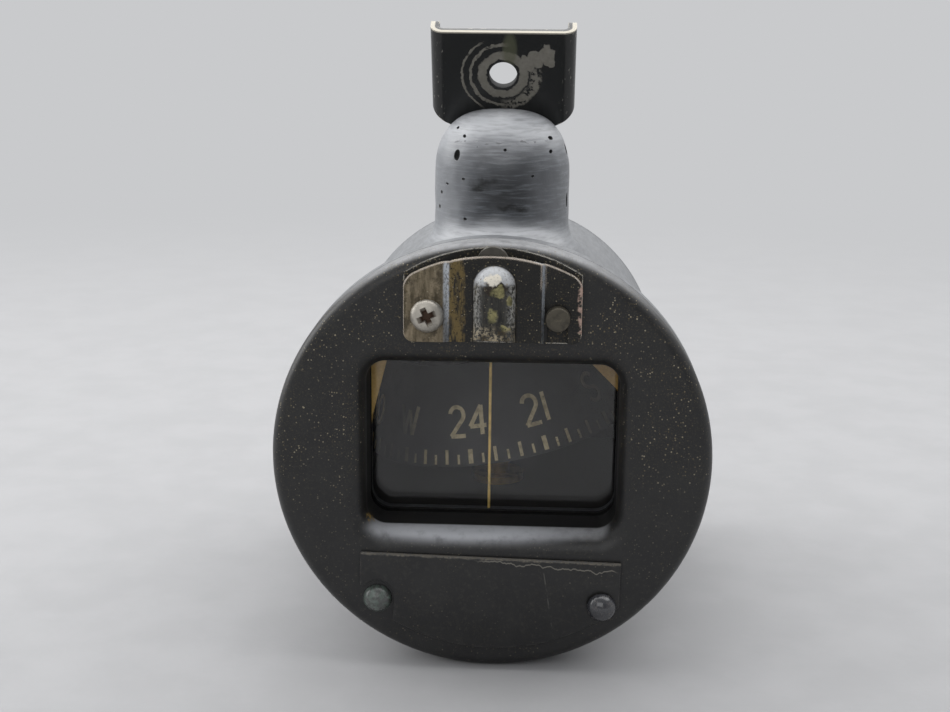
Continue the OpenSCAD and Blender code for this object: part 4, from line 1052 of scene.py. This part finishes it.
def make_slotted_screws():
    """The screws behind the flange, on the rear cover, on the bracket, in the bay, and the filler plug."""
    steel = plated("aged_steel", "#a2a19c", 0.36).material
    brass = plated("aged_brass", "#8f7440", 0.42).material
    flange = []
    rear = []
    for k in range(RING_SCREWS):
        a = math.radians(-30 - k * 360 / RING_SCREWS)
        across, up = math.cos(a), math.sin(a)
        flange.append(facing_back((FLANGE_CIRCLE * across, FLANGE_BACK, FLANGE_CIRCLE * up), 2.3 * a))
        rear.append(facing_back((REAR_CIRCLE * across, REAR_BACK, REAR_CIRCLE * up), 1.7 * a + 0.4))
    tongue = [bracket_matrix() @ facing_back((0, SEAT + SHEET + WASHER_THICK, up), 0.5 + up)
              for up in BRACKET_SCREWS]
    ear_x, ear_d, ear_z = EAR_SCREW
    ears = [Matrix.Translation((side * ear_x, ear_d, ear_z)) @ Matrix.Rotation(0.6 * side, 4, "Y")
            for side in (-1, 1)]
    upright = Matrix.Rotation(-math.pi / 2, 4, "X") @ Matrix.Rotation(0.7, 4, "Y")
    plug = [Matrix.Translation((0, FILLER_D, FILLER_TOP + FILLER_SEAL)) @ upright]
    # Each group: piece, node, material slot and metal, the screw's sizes in the order that slotted_screw
    # takes them, and the places
    jobs = (("flange_screws", "case_screws", "hidden_screw", steel, (1.7, 1.3, 0.95, 6.7, 0.5), flange),
            ("rear_screws", "rear_cover_screws", "hidden_screw", steel, (1.7, 1.3, 0.95, 6.2, 0.5), rear),
            ("tongue_screws", "bracket_screws", "hidden_screw", steel, (3.1, 1.9, 1.75, 10.3, 0.85), tongue),
            ("ear_screws", "compensator_screws", "hidden_screw", steel, (1.3, 0.7, 0.7, 4.3, 0.36), ears),
            ("filler_plug_head", "filler_plug", "brass", brass, (3.6, 1.8, 2.2, 4.5, 1.0), plug))
    for name, node, slot, material, sizes, places in jobs:
        group = copies(name, slotted_screw(*sizes), places)
        round_edges(group, 0.06, 2, 35)
        finish_piece(group, "case", slot, [material], node)


# Case, neck and rear cover

def saddle_height(x, y):
    """Height of the neck's flare above the bezel axis at x, and y from the neck's axis."""
    t = min(max((math.hypot(x, y) - NECK_R) / (NECK_FOOT_R - NECK_R), 0.0), 1.0)
    return math.sqrt(BARREL_R ** 2 - x * x) + FLARE_RISE * (1 - math.sqrt(1 - (1 - t) ** 2))


def wobble(point):
    """Hand-worked unevenness of the casting, in millimetres."""
    return sum(height * noise.noise(Vector(point) / size) for height, size in WOBBLE)


def neck_ring(reach, height, wave):
    """A ring about the neck's axis. height gives z over a place, wave scales the unevenness."""
    ring = []
    for cosine, sine in circle(1.0, NECK_STEPS):
        x, y = reach * sine, -reach * cosine
        z = height(x, y)
        r = reach + wave * wobble((x, y, z))
        ring.append((r * sine, NECK_D - r * cosine, z))
    return ring


def make_neck():
    """Flared foot, short stem and full round top, a little uneven."""
    flare_rows, stem_rows, dome_rows = 24, 10, 44
    rings = [neck_ring(NECK_FOOT_R, lambda x, y: NECK_ROOT_Z, 0)]
    for k in range(flare_rows + 1):
        t = 1 - (k / flare_rows) ** 1.4
        reach = NECK_R + (NECK_FOOT_R - NECK_R) * t
        rings.append(neck_ring(reach, lambda x, y: saddle_height(x, y) - 0.1 * t, 1 - t))
    for k in range(1, stem_rows):
        share = k / stem_rows
        rings.append(neck_ring(
            NECK_R, lambda x, y: NECK_TOP_Z * share + saddle_height(x, y) * (1 - share), 1))
    for sine, cosine in quarter(dome_rows)[:-1]:
        up = NECK_TOP_Z + NECK_R * sine ** (2 / NECK_SQUARE)
        rings.append(neck_ring(NECK_R * cosine ** (2 / NECK_SQUARE), lambda x, y: up, cosine))
    rings.append(neck_ring(0.0, lambda x, y: NECK_TOP_Z + NECK_R, 0.0))
    neck = loft("neck", rings)
    close_ends(neck)
    return neck


# Casting pits on the neck: angle from the front in degrees, height, half width, half height
PITS = ((-41.1, 47.4, 0.75, 1.15), (48.7, 48.2, 0.42, 0.4), (-56.0, 52.2, 0.36, 0.3),
        (-38.8, 50.9, 0.34, 0.3), (3.9, 48.8, 0.26, 0.24), (-32.8, 43.2, 0.3, 0.24),
        (-62.0, 40.2, 0.3, 0.34), (-66.4, 37.4, 0.34, 0.4), (-30.4, 35.9, 0.34, 0.28),
        (53.9, 50.6, 0.7, 0.36), (76.0, 38.6, 0.5, 1.6), (80.3, 47.9, 0.5, 1.3),
        (28.0, 44.0, 0.24, 0.22), (-52.0, 42.0, 0.24, 0.24), (150.0, 40.0, 0.5, 0.4),
        (-130.0, 37.5, 0.4, 0.5))

# Smudges on the neck: angle from the front in degrees, height, half width, half height, strength
SMUDGES = ((-19.0, 42.0, 3.2, 1.1, 1.0), (-11.0, 42.8, 2.4, 0.9, 0.9), (7.0, 38.2, 3.0, 1.0, 1.0),
           (18.0, 38.0, 2.2, 0.9, 1.0), (4.0, 41.0, 8.5, 5.0, 0.6), (20.0, 46.0, 6.0, 3.0, 0.3))


def neck_point(angle, z):
    """A place on the neck's skin, and its outward direction."""
    a = math.radians(angle)
    over = max(z - NECK_TOP_Z, 0.0)
    level = (NECK_R ** NECK_SQUARE - over ** NECK_SQUARE) ** (1 / NECK_SQUARE)
    slope = (over / level) ** (NECK_SQUARE - 1)
    point = Vector((level * math.sin(a), NECK_D - level * math.cos(a), z))
    return point, Vector((math.sin(a), -math.cos(a), slope)).normalized()


def make_pits():
    """Small hollows, each an egg sunk in the skin."""
    bm = bmesh.new()
    for angle, z, half_w, half_h in PITS:
        point, out = neck_point(angle, z)
        turn = out.to_track_quat("Y", "Z").to_matrix().to_4x4()
        egg = Matrix.Diagonal((half_w, PIT_DEPTH, half_h, 1))
        place = Matrix.Translation(point + out * PIT_LIFT) @ turn @ egg
        bmesh.ops.create_icosphere(bm, subdivisions=3, radius=1.0, matrix=place)
    return from_bmesh("pits", bm)


def segment_outline(radius, low, high):
    """The part of a circle between two heights, as an outline."""
    start = math.degrees(math.asin(low / radius))
    end = math.degrees(math.asin(high / radius))
    right = arc(0, 0, radius, radius, start, end, 60)
    return right + [(-x, z) for x, z in reversed(right) if x > 0.001]


def make_case():
    front = BEZEL_THICK - 1
    profile = [(0.0, BEZEL_THICK), (BEZEL_R - FLANGE_EDGE, BEZEL_THICK),
               (BEZEL_R, BEZEL_THICK + FLANGE_EDGE), (BEZEL_R, FLANGE_BACK - FLANGE_EDGE),
               (BEZEL_R - FLANGE_EDGE, FLANGE_BACK),
               (BARREL_R + BARREL_FILLET, FLANGE_BACK), (BARREL_R + 0.1, FLANGE_BACK + 0.12),
               (BARREL_R, FLANGE_BACK + BARREL_FILLET), (BARREL_R, CASE_BACK - BARREL_EDGE),
               (BARREL_R - BARREL_EDGE, CASE_BACK), (0.0, CASE_BACK)]
    case = lathe("case_casting", profile, TURN_STEPS)
    combine(case, make_neck(), "UNION")
    boss = lathe("boss", [(0, 0), (FILLER_BOSS_R, 0), (FILLER_BOSS_R, FILLER_BOSS_H - BARREL_EDGE),
                          (FILLER_BOSS_R - BARREL_EDGE, FILLER_BOSS_H), (0, FILLER_BOSS_H)], 64)
    stand = Matrix.Translation((0, FILLER_D, FILLER_TOP - FILLER_BOSS_H))
    boss.data.transform(stand @ Matrix.Rotation(math.pi / 2, 4, "X"))
    combine(case, boss, "UNION")
    seat = block("seat", (-SEAT_CUT, SEAT, TONGUE_LOW - PLAY), (SEAT_CUT, SEAT_CUT_BACK, SEAT_CUT))
    seat.data.transform(bracket_matrix())
    cut(case, seat)
    cut(case, make_pits())
    cut(case, prism("chamber", segment_outline(CHAMBER_R, FLOOR_Z, CHAMBER_R), LEDGE_BACK, CHAMBER_BACK))
    recess = [(x, z) for x, d, z in grown_window(0, SEAT_GROW)]
    cut(case, prism("recess", recess, front, LEDGE_FRONT))
    opening = []
    for x, d, z in grown_window(0, PLAY):
        over = max(x + z - CORNER_LINE, 0.0) / 2
        opening.append((max(x - over, WEDGE_X + WEDGE_LEAN * z), z - over))
    cut(case, prism("opening", opening, LEDGE_FRONT - 0.5, LEDGE_BACK + 0.5))
    cut(case, prism("bay", segment_outline(BAY_R, -BAY_R, BAY_TOP), LEDGE_BACK, BAY_BACK))
    cut(case, block("mouth", (-BAY_HALF, front, BAY_LOW), (BAY_HALF, LEDGE_BACK + 1, BAY_TOP)))
    cut(case, block("ears", (-EAR_HALF, front, BAY_LOW), (EAR_HALF, EAR_BACK, BAY_TOP)))
    for face in case.data.polygons:
        x, d, z = face.center
        inside = LEDGE_BACK - 0.01 < d < CHAMBER_BACK + 0.1 and math.hypot(x, z) < CHAMBER_R + 0.1
        face.material_index = 1 if inside and z > FLOOR_Z - 0.1 else 0
    finish_piece(case, "case", "case_paint", [case_look(), chamber_look()], "case_body")


def case_look():
    """Dark grey paint, rubbed along the round of the neck, chipped at a ridge and smudged. Painted light: a
    painted highlight on the casting's upward faces, the neck's left side paler than its right, painted shade
    in the pits and pores, and the ledge's left cream corner paler than its right.
    """
    look = Look("case_grey", "#393b3f", 0.36, ior=1.6)
    x, depth, z = look.x, look.d, look.z
    broad = look.noise(7.0, 5.0, 0.6)
    rubbed = look.noise(1.0, 6.0, 0.65, (0.2, 0.2, 1.9))
    fine = look.noise(0.5)
    look.layer(broad.fit(0.38, 0.68), "#44474b", 0.42)
    near = z.fit(26.0, 35.0) * abs(depth - NECK_D).fit(32.0, 14.0)
    look.layer(rubbed.fit(0.46, 0.7) * (near | 0.3), "#64686d", 0.3)
    radius = look.length(look.stretched((1, 0, 1)))
    # Painted light: the neck's left side painted paler than its right, as lit from the left.
    for low, high, share in ((-0.15, -0.95, 0.6), (0.3, 0.95, 0.3)):
        look.layer(look.facing(low, high, 0) * near * share, "#9a9da1", 0.4)
    # Upward faces of the casting painted pale: rubbed paint and a painted highlight.
    top_highlight_reach = (near | 0.3) * radius.fit(28.0, 31.0)
    look.layer(look.facing(-0.02, 0.8) * rubbed.fit(0.3, 0.6, 0.6, 1.0) * top_highlight_reach, "#bbbdc0", 0.4)
    streaky = look.warped(2.4, 0.8)
    for angle, height, half_w, half_h, strength in SMUDGES:
        point = neck_point(angle, height)[0]
        smudge = look.spot(tuple(point), (half_w, 6.0, half_h), 0.9, streaky)
        look.layer(smudge * rubbed.fit(0.72, 0.4, 0.5, 1) * strength, "#090a0b", 0.7)
    wave = (look.noise(3.0, 4.0, 0.6, (1, 1, 0)) - 0.5) * 2.6
    ridge = abs(z - 50.0 - wave).fit(0.26, 0.05) * depth.fit(40.0, 36.0) * look.noise(1.6).fit(0.5, 0.6)
    look.layer(ridge, "#77787a", 0.5)
    look.bump(ridge, 0.08)
    for angle, height, half_w, half_h in PITS:
        point, out = neck_point(angle, height)
        # Painted shade: each pit darkened to near black.
        sunk = look.spot(tuple(point - out * 0.35), (half_w + 0.1, 0.75, half_h + 0.05), 0.15)
        look.layer(sunk, "#060606", 0.9)
    # Painted shade: tiny pores painted near black as well as sunk by the bump.
    holes = look.specks(2.4, 0.2, 0.25)[0] * z.fit(35.0, 37.0)
    look.layer(holes, "#0c0c0c", 0.8)
    look.bump(holes, -0.15)
    worn = look.edges(0.5) * look.noise(1.5).fit(0.42, 0.6) * z.fit(52.0, 38.0)
    look.layer(worn, "#7d7e7d", 0.4, 0.3)
    right = (x + z).fit(CORNER_LINE - 0.3, CORNER_LINE - 0.1)
    left = (z * WEDGE_LEAN - x).fit(-WEDGE_X - 0.3, -WEDGE_X - 0.1)
    ledge = depth.fit(LEDGE_FRONT - 0.3, LEDGE_FRONT - 0.1) * depth.fit(LEDGE_BACK + 0.4, LEDGE_BACK)
    corner = ledge * z.fit(-0.7, -0.3) * radius.fit(30.0, 29.5) * (left | right)
    # Painted light: both corners are one cream paint; the left one is given the paler tones as painted
    # light.
    tan = look.mix(fine, "#cda350", "#937339")
    gold = look.mix(fine, "#f2cd7c", "#c9a254")
    look.layer(corner, look.mix(x.fit(5.0, -5.0), tan, gold), 0.7)
    look.bump(rubbed, 0.05)
    look.bump(broad, 0.2)
    look.bump(fine, 0.012)
    return look.material


def chamber_look():
    """Aged cream paint inside the chamber, with painted shade making it near black towards the bottom."""
    look = Look("chamber_cream", "#e6c98a", 0.5)
    look.layer(look.noise(5.0, 5.0).fit(0.35, 0.7), "#d2ab62", 0.6)
    look.layer(look.noise(0.7).fit(0.52, 0.72), "#b48d4c")
    # Painted shade: near black below the card's middle.
    look.layer(look.z.fit(1.0, -4.0), "#16140f", 0.7)
    look.bump(look.noise(0.5, 3.0), 0.03)
    return look.material


def make_rear_cover():
    """Round plate behind the case, with a rolled edge and a breather hole."""
    profile = [(BREATHER_R, CASE_BACK), (BREATHER_R, REAR_BACK - REAR_EDGE),
               (BREATHER_R + REAR_EDGE, REAR_BACK)]
    for sine, cosine in quarter(6):
        profile.append((BARREL_R - REAR_ROLL * (1 - sine), REAR_BACK - REAR_ROLL * (1 - cosine)))
    profile += [(BARREL_R, CASE_BACK + REAR_EDGE), (BARREL_R - REAR_EDGE, CASE_BACK)]
    plate = lathe("rear_plate", profile, TURN_STEPS, joined=True)
    finish_piece(plate, "case", "case_paint", [bpy.data.materials["case_grey"]], "rear_cover")


# Bracket

def bracket_section():
    """Front of the bracket's channel section, from the left side round the bends to the right side."""
    straight = SEAT + BEND_R
    end = SEAT + FLANGE_DEPTH
    left = [(-HEAD_HALF, end - (end - straight) * k / 3) for k in range(3)]
    left += arc(BEND_R - HEAD_HALF, straight, BEND_R, BEND_R, 180, 270, 10)
    web = [(-TONGUE_HALF + 2 * TONGUE_HALF * k / 30, SEAT) for k in range(31)]
    return left + web + [(-x, y) for x, y in reversed(left)]


def column(x, y, low, high, rows):
    """Equal steps up the sheet."""
    return [(x, y, low + (high - low) * k / rows) for k in range(rows + 1)]


def make_bracket():
    """Channel of sheet with a tongue below, its lower corners trimmed."""
    head = []
    tongue = []
    flat_end = HEAD_HALF - BEND_R
    reach = flat_end - TONGUE_HALF + BEND_R * math.pi / 2 + FLANGE_DEPTH - BEND_R
    for x, y in bracket_section():
        past = abs(x) - TONGUE_HALF
        if abs(x) > flat_end:
            past = flat_end - TONGUE_HALF + BEND_R * math.asin(min((abs(x) - flat_end) / BEND_R, 1.0))
        past += max(0.0, y - SEAT - BEND_R)
        head.append(column(x, y, TONGUE_TOP + TRIM_RISE * (max(past, 0.0) / reach) ** 1.2, HEAD_TOP, 36))
        if abs(x) <= TONGUE_HALF + 1e-6:
            inset = max(0.0, abs(x) - (TONGUE_HALF - TONGUE_CORNER))
            low = TONGUE_LOW + TONGUE_CORNER - math.sqrt(TONGUE_CORNER ** 2 - inset ** 2)
            tongue.append(column(x, y, low, TONGUE_TOP, 30))
    sheet = loft("hanging_bracket", head, around=False)
    lower = loft("tongue", tongue, around=False)
    bm = bmesh.new()
    bm.from_mesh(sheet.data)
    bm.from_mesh(lower.data)
    bmesh.ops.remove_doubles(bm, verts=bm.verts, dist=1e-3)
    bmesh.ops.recalc_face_normals(bm, faces=bm.faces)
    middle = min(bm.faces, key=lambda f: (f.calc_center_median() - Vector((0, SEAT, HOLE_UP))).length)
    if middle.normal.y > 0:
        bmesh.ops.reverse_faces(bm, faces=bm.faces)
    bm.to_mesh(sheet.data)
    bm.free()
    bpy.data.objects.remove(lower)
    thicken(sheet, SHEET)
    for up, radius in ((HOLE_UP, HOLE_R), *((screw, BRACKET_SCREW_HOLE) for screw in BRACKET_SCREWS)):
        cut(sheet, prism("hole", arc(0, up, radius, radius, 0, 354, 59), SEAT - 2, SEAT + SHEET + 2))
    round_edges(sheet, 0.22, 3, 45)
    sheet.data.transform(bracket_matrix())
    finish_piece(sheet, "case", "bracket_enamel", [bracket_look()], "mounting_bracket", crease=40)


def bracket_look():
    """Glossy black enamel, rubbed bare in rings round the hole, and pale along the top edge as bare metal
    and a painted highlight.
    """
    look = Look("bracket_black", "#131413", 0.24)
    out = Vector((0, math.cos(LEAN), math.sin(LEAN)))
    up = Vector((0, -math.sin(LEAN), math.cos(LEAN)))
    hole = bracket_matrix() @ Vector((0, SEAT, HOLE_UP))
    away = look.vector("SUBTRACT", look.place, tuple(hole))
    x = look.axis(0, away)
    wide = abs(x)
    rise = look.vector("DOT_PRODUCT", away, tuple(up), "Value")
    behind = look.vector("DOT_PRODUCT", away, tuple(out), "Value")
    radius = look.math("SQRT", x ** 2.0 + rise ** 2.0)
    rough_r = radius + (look.noise(1.3, 5.0, 0.65) - 0.5) * 1.3
    front = behind.fit(0.6, 0.3)
    patchy = look.noise(1.0, 5.0, 0.7)
    tint = look.mix(look.noise(0.6), "#625f54", "#86837c")
    inner = rough_r.fit(3.0, 3.2) * rough_r.fit(4.8, 4.5) * front
    look.layer(inner * patchy.fit(0.25, 0.38), tint, 0.5, 0.35)
    for middle, half, side in ((6.1, 0.34, x.fit(1.6, -0.6)), (7.6, 0.26, x.fit(-3.2, -5.2))):
        band = abs(rough_r - middle).fit(half, half * 0.5) * side * front
        look.layer(band * patchy.fit(0.33, 0.46), tint, 0.5, 0.3)
    lower = abs(rough_r - 6.1).fit(1.3, 0.7) * x.fit(-1.0, 1.6) * rise.fit(2.2, 0.4) * front
    look.layer(lower * patchy.fit(0.44, 0.5), tint, 0.5, 0.3)
    torn = look.warped(1.6, 0.7)
    blobs = []
    for centre_x, centre_up, size in ((4.4, 2.3, 1.7), (6.0, 3.2, 1.7), (7.6, 4.2, 1.8), (8.2, 3.2, 1.5)):
        centre = hole + Vector((centre_x, 0, 0)) + up * centre_up
        blobs.append(look.spot(tuple(centre), (size, size, size), 0.12, torn))
    look.layer(functools.reduce(operator.or_, blobs) * front, tint, 0.5, 0.3)
    smear = look.spot(tuple(hole + Vector((1.2, 0, 0)) + up * 5.0), (1.7, 4.4, 4.4), 0.5)
    look.layer(smear * front * 0.55, "#55573f", 0.5)
    past_web = ((wide - (HEAD_HALF - BEND_R)) | 0.0) ** 2.0
    before_side = ((BEND_R - behind) | 0.0) ** 2.0
    inset = BEND_R - look.math("SQRT", past_web + before_side)
    top = HEAD_TOP - HOLE_UP
    crest_bare_and_highlight = rise.fit(top - 0.34, top - 0.14) * inset.fit(0.95, 0.7)
    chipped = look.edges(0.4, 0.02, 0.14) * look.noise(1.4, 5.0).fit(0.5, 0.62)
    bare = crest_bare_and_highlight | (chipped * radius.fit(HOLE_R + 0.6, HOLE_R + 1.0))
    # The top edge is painted pale as bare metal and a painted highlight; chipped edges are bare metal.
    look.layer(bare, "#aca79b", 0.38, 0.8)
    look.layer(radius.fit(HOLE_R + 0.1, HOLE_R + 0.03), "#0b0b0b", 0.7, 0.0)
    nicks = look.noise(1.0, 5.0, 0.7, (2.2, 2.2, 0.5)).fit(0.62, 0.68)
    look.layer(nicks * wide.fit(10.0, 12.0), "#9a988f", 0.45, 0.4)
    look.bump(look.noise(4.0), 0.05)
    look.bump(look.noise(0.4, 3.0), 0.008)
    return look.material


# Card markings

LABELS = ("N", "3", "6", "E", "12", "15", "S", "21", "24", "W", "30", "33")
GLYPH_H = 6.0
GLYPH_WIDTH = 0.82
GLYPH_GAP = 0.25
GLYPH_STROKE = 0.74
GLYPH_LOW = 4.65
TICK_FOOT = -3.65
TICK_LONG = 2.6
TICK_SHORT = 1.7
TICK_W30 = 0.85
TICK_W10 = 0.58
TICK_W5 = 0.42
MARK_SUNK = -0.05
MARK_PROUD = 0.06
SLANT = math.sqrt(1 + CARD_SLOPE ** 2)


def path(*points):
    """A chain of straight strokes."""
    return [[start, end] for start, end in zip(points, points[1:])]


def glyph(letter):
    """Width and strokes of a figure one unit high."""
    forms = {
        "0": (0.55, [arc(0.275, 0.5, 0.275, 0.5, 90, 450, 32)]),
        "1": (0.16, path((0.08, 0), (0.08, 1))),
        "2": (0.56, [arc(0.28, 0.73, 0.26, 0.27, 170, -38, 18) + [(0, 0)]] + path((0, 0), (0.56, 0))),
        "3": (0.54, [arc(0.26, 0.75, 0.24, 0.25, 155, -85, 16), arc(0.26, 0.26, 0.28, 0.26, 85, -155, 18)]),
        "4": (0.6, path((0.44, 0), (0.44, 1), (0, 0.3), (0.6, 0.3))),
        "5": (0.54, path((0.5, 1), (0.08, 1), (0.05, 0.55)) + [arc(0.26, 0.32, 0.28, 0.32, 135, -155, 20)]),
        "6": (0.54, [arc(0.27, 0.3, 0.27, 0.3, 0, 360, 28), arc(0.62, 0.3, 0.62, 0.7, 112, 180, 12)]),
        "N": (0.58, path((0, 0), (0, 1), (0.58, 0), (0.58, 1))),
        "E": (0.5, path((0, 0), (0, 1), (0.5, 1)) + path((0, 0.52), (0.4, 0.52)) + path((0, 0), (0.5, 0))),
        "S": (0.54, [arc(0.27, 0.75, 0.26, 0.25, 25, 270, 18)
                     + arc(0.27, 0.25, 0.27, 0.25, 90, -155, 18)[1:]]),
        "W": (0.82, path((0, 1), (0.21, 0), (0.41, 0.85), (0.61, 0), (0.82, 1))),
    }
    return forms[letter]


def cone_point(across, up, bearing, lift):
    """A place on the card: millimetres across and up the slope from the tick's foot at a bearing."""
    h = TICK_FOOT + up / SLANT
    radius = CARD_R - CARD_SLOPE * (h + CARD_DROP)
    turn = math.radians(CARD_HEADING - bearing) + across / radius
    radius += lift / SLANT
    return Vector((radius * math.sin(turn), -radius * math.cos(turn), h + lift * CARD_SLOPE / SLANT))


def stroke(bm, line, width, bearing):
    """A closed raised ribbon along a line of (across, up) points."""
    matrix = card_matrix()
    points = [Vector(p) for p in line]
    if len(points) == 2:
        points = [points[0].lerp(points[1], k / 8) for k in range(9)]
    rings = []
    for k, point in enumerate(points):
        along = (points[min(k + 1, len(points) - 1)] - points[max(k - 1, 0)]).normalized()
        side = Vector((-along.y, along.x)) * width / 2
        corners = ((point - side, MARK_SUNK), (point + side, MARK_SUNK),
                   (point + side, MARK_PROUD), (point - side, MARK_PROUD))
        rings.append([bm.verts.new(matrix @ cone_point(p.x, p.y, bearing, lift)) for p, lift in corners])
    for here, there in zip(rings, rings[1:]):
        for k in range(4):
            bm.faces.new((here[k], here[(k + 1) % 4], there[(k + 1) % 4], there[k]))
    bm.faces.new(rings[0])
    bm.faces.new(list(reversed(rings[-1])))


def make_markings():
    """Degree marks round the card's foot, with a figure or letter above each thirty degrees."""
    bm = bmesh.new()
    for bearing in range(0, 360, 5):
        long = bearing % 10 == 0
        width = TICK_W30 if bearing % 30 == 0 else TICK_W10 if long else TICK_W5
        stroke(bm, [(0, 0), (0, TICK_LONG if long else TICK_SHORT)], width, bearing)
    gap = GLYPH_GAP + GLYPH_STROKE
    wide = GLYPH_H * GLYPH_WIDTH
    for k, label in enumerate(LABELS):
        start = -(sum(glyph(c)[0] for c in label) * wide + gap * (len(label) - 1)) / 2
        for letter in label:
            width, strokes = glyph(letter)
            for line in strokes:
                placed = [(start + x * wide, GLYPH_LOW + y * (GLYPH_H - GLYPH_STROKE) + GLYPH_STROKE / 2)
                          for x, y in line]
                stroke(bm, placed, GLYPH_STROKE, 30 * k)
            start += width * wide + gap
    bmesh.ops.recalc_face_normals(bm, faces=bm.faces)
    marks = from_bmesh("card_markings", bm)
    look = Look("cream_with_painted_shade", "#b9ab86", 0.6)
    look.layer(look.noise(1.3, 5.0).fit(0.42, 0.7), "#8d8162")
    look.layer(look.noise(0.35, 3.0).fit(0.56, 0.72), "#5d563f")
    # Painted shade: marks on the card's front part darkened towards its sides.
    look.layer(abs(look.x).fit(10.5, 17.5, 0.0, 0.95) * look.d.fit(34.0, 31.0), "#181712")
    look.bump(look.noise(0.3, 2.0), 0.01)
    finish_piece(marks, "card", "card_black", [look.material])


# Shock spring

def make_spring():
    """The spring under the jewel post, built at its rest length."""
    steps, sides = 32, 12
    row_low, row_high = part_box("pivot_spring")
    low = TO_ROW.inverted() @ row_low
    high = TO_ROW.inverted() @ row_high
    middle = (low + high) / 2
    reach = (high.x - low.x) / 2 - SPRING_WIRE
    climb = (high.z - low.z - 2 * SPRING_WIRE) / (SPRING_TURNS * steps)
    rings = []
    for k in range(SPRING_TURNS * steps + 1):
        a = 2 * math.pi * k / steps
        z = low.z + SPRING_WIRE + climb * k
        wire = arc(reach, z, SPRING_WIRE, SPRING_WIRE, 0, 360 - 360 / sides, sides - 1)
        rings.append([(middle.x + r * math.cos(a), middle.y + r * math.sin(a), up) for r, up in wire])
    spring = loft("shock_spring", rings)
    close_ends(spring)
    finish_piece(spring, "case", "steel", [bpy.data.materials["steel_turned"]], "pivot_spring")
    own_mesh(spring)


# Finishes of the CAD nodes that stay as they are

def window_look():
    """Clear flat glass that lets lamp light through to the card."""
    look = Look("window_pane", "#ffffff", 0.0, ior=1.42)
    look.put(look.shader.inputs["Transmission Weight"], 1.0)
    look.put(look.shader.inputs["Roughness"], look.noise(6.0, 5.0, 0.6).fit(0.45, 0.75, 0.0, 0.035))
    look.surface(look.rays("Shadow"), look.shader, look.add("ShaderNodeBsdfTransparent"))
    return look.material


def lamp_look():
    look = Look("lamp_bulb", "#e9dfc6", 0.08, ior=1.45)
    look.put(look.shader.inputs["Transmission Weight"], 0.8)
    look.layer(look.noise(1.2, 3.0).fit(0.45, 0.7), "#cdbf9c", 0.15)
    return look.material


def simple_look(name, code, roughness, metallic=0.0, grain=0.6, depth=0.02):
    """One colour with mottling, a little wear on its edges and a fine grain."""
    look = Look(name, code, roughness, metallic)
    look.layer(look.noise(grain * 3, 5.0).fit(0.4, 0.7), shaded(code, 0.62), min(roughness + 0.12, 1.0))
    worn = look.edges(0.15) * look.noise(grain).fit(0.4, 0.6)
    look.layer(worn, shaded(code, 1.5, 0.01), max(roughness - 0.1, 0.05))
    look.bump(look.noise(grain * 0.4, 3.0), depth)
    return look.material


def plate_look():
    """Black sheet behind the tray, dusty on its face and bare along its rim."""
    look = Look("plate_tarnished", "#121211", 0.5, ior=1.42)
    look.layer(look.noise(1.5, 5.0).fit(0.45, 0.65), "#1d1b17", 0.55)
    look.layer(look.edges(0.3, 0.015, 0.1) * look.noise(1.0).fit(0.35, 0.55), "#d9d4c8", 0.35, 0.2)
    dust(look, 0.5)
    look.bump(look.noise(0.4, 3.0), 0.02)
    return look.material


def dress_nodes():
    """Gives every CAD node that stays on show its finish, and softens its edges."""
    rounded = {"window_glass", "pivot_ball", "lamp", "jewel"}
    finishes = (
        (window_look(), "window_glass"),
        (lamp_look(), "lamp"),
        (plate_look(), "light_back_plate"),
        (simple_look("brass_turned", "#a5833f", 0.36, 0.9), "pivot_stand jewel_post diaphragm lamp_socket "
         "compensator_frame ew_adjuster ew_idler ns_adjuster ns_crown"),
        (simple_look("steel_turned", "#b4b5b6", 0.3, 0.95),
         "pivot_ball pivot_needle card_hub bracket_washers"),
        (simple_look("magnet_steel", "#55575a", 0.45, 0.6),
         "card_magnets ew_adjuster_magnet ew_idler_magnet ns_magnet"),
        (simple_look("black_rubber", "#161616", 0.75), "front_gasket rear_gasket"),
        (simple_look("card_black", "#0d0d0c", 0.6, grain=1.4, depth=0.004), "compass_card"),
        (simple_look("golden_wire", "#f0cd7a", 0.35, 0.25, 0.8), "lubber_line"),
        (simple_look("float_grey", "#3c3b38", 0.65), "card_float"),
        (simple_look("ruby", "#a8203f", 0.1), "jewel"),
        (simple_look("red_fibre", "#6e2a22", 0.8), "filler_seal"),
        (simple_look("insulator_brown", "#4b473f", 0.5), "lamp_insulator"),
        (simple_look("washer_dull", "#6d6a5c", 0.45, 0.7), "cover_pivot_washer"),
    )
    for material, names in finishes:
        for name in names.split():
            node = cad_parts[name]
            node.data.materials.clear()
            node.data.materials.append(material)
            if name not in rounded:
                bevel(node, NODE_BEVEL * MM, 2, 40)


bpy.context.scene.view_settings.view_transform = "Standard"
make_camera()
make_world()
make_light("overhead_softbox", (0.08, 0.42, 1.0), 0.62, 1.5, 1.0, 1.75)
make_light("front_fill", (-0.25, -1.0, 0.5), 0.8, 0.7, 0.45, 1.1)
make_light("left_light", (-1.0, 0.2, 0.45), 0.8, 0.5, 0.6, 2.8)
make_floor()
make_bezel()
make_case()
make_rear_cover()
make_bracket()
make_cover()
make_tray()
make_cross_screw()
make_flat_screw()
make_domed_screw("cover_stop_head", "cover_stop_screw", -COVER_SCREW_X, 0.0, stop_screw_look())
make_domed_screw("cover_pivot_head", "cover_pivot_screw", COVER_SCREW_X, PIVOT_SEAT, pivot_screw_look())
make_slotted_screws()
make_markings()
dress_nodes()
make_spring()
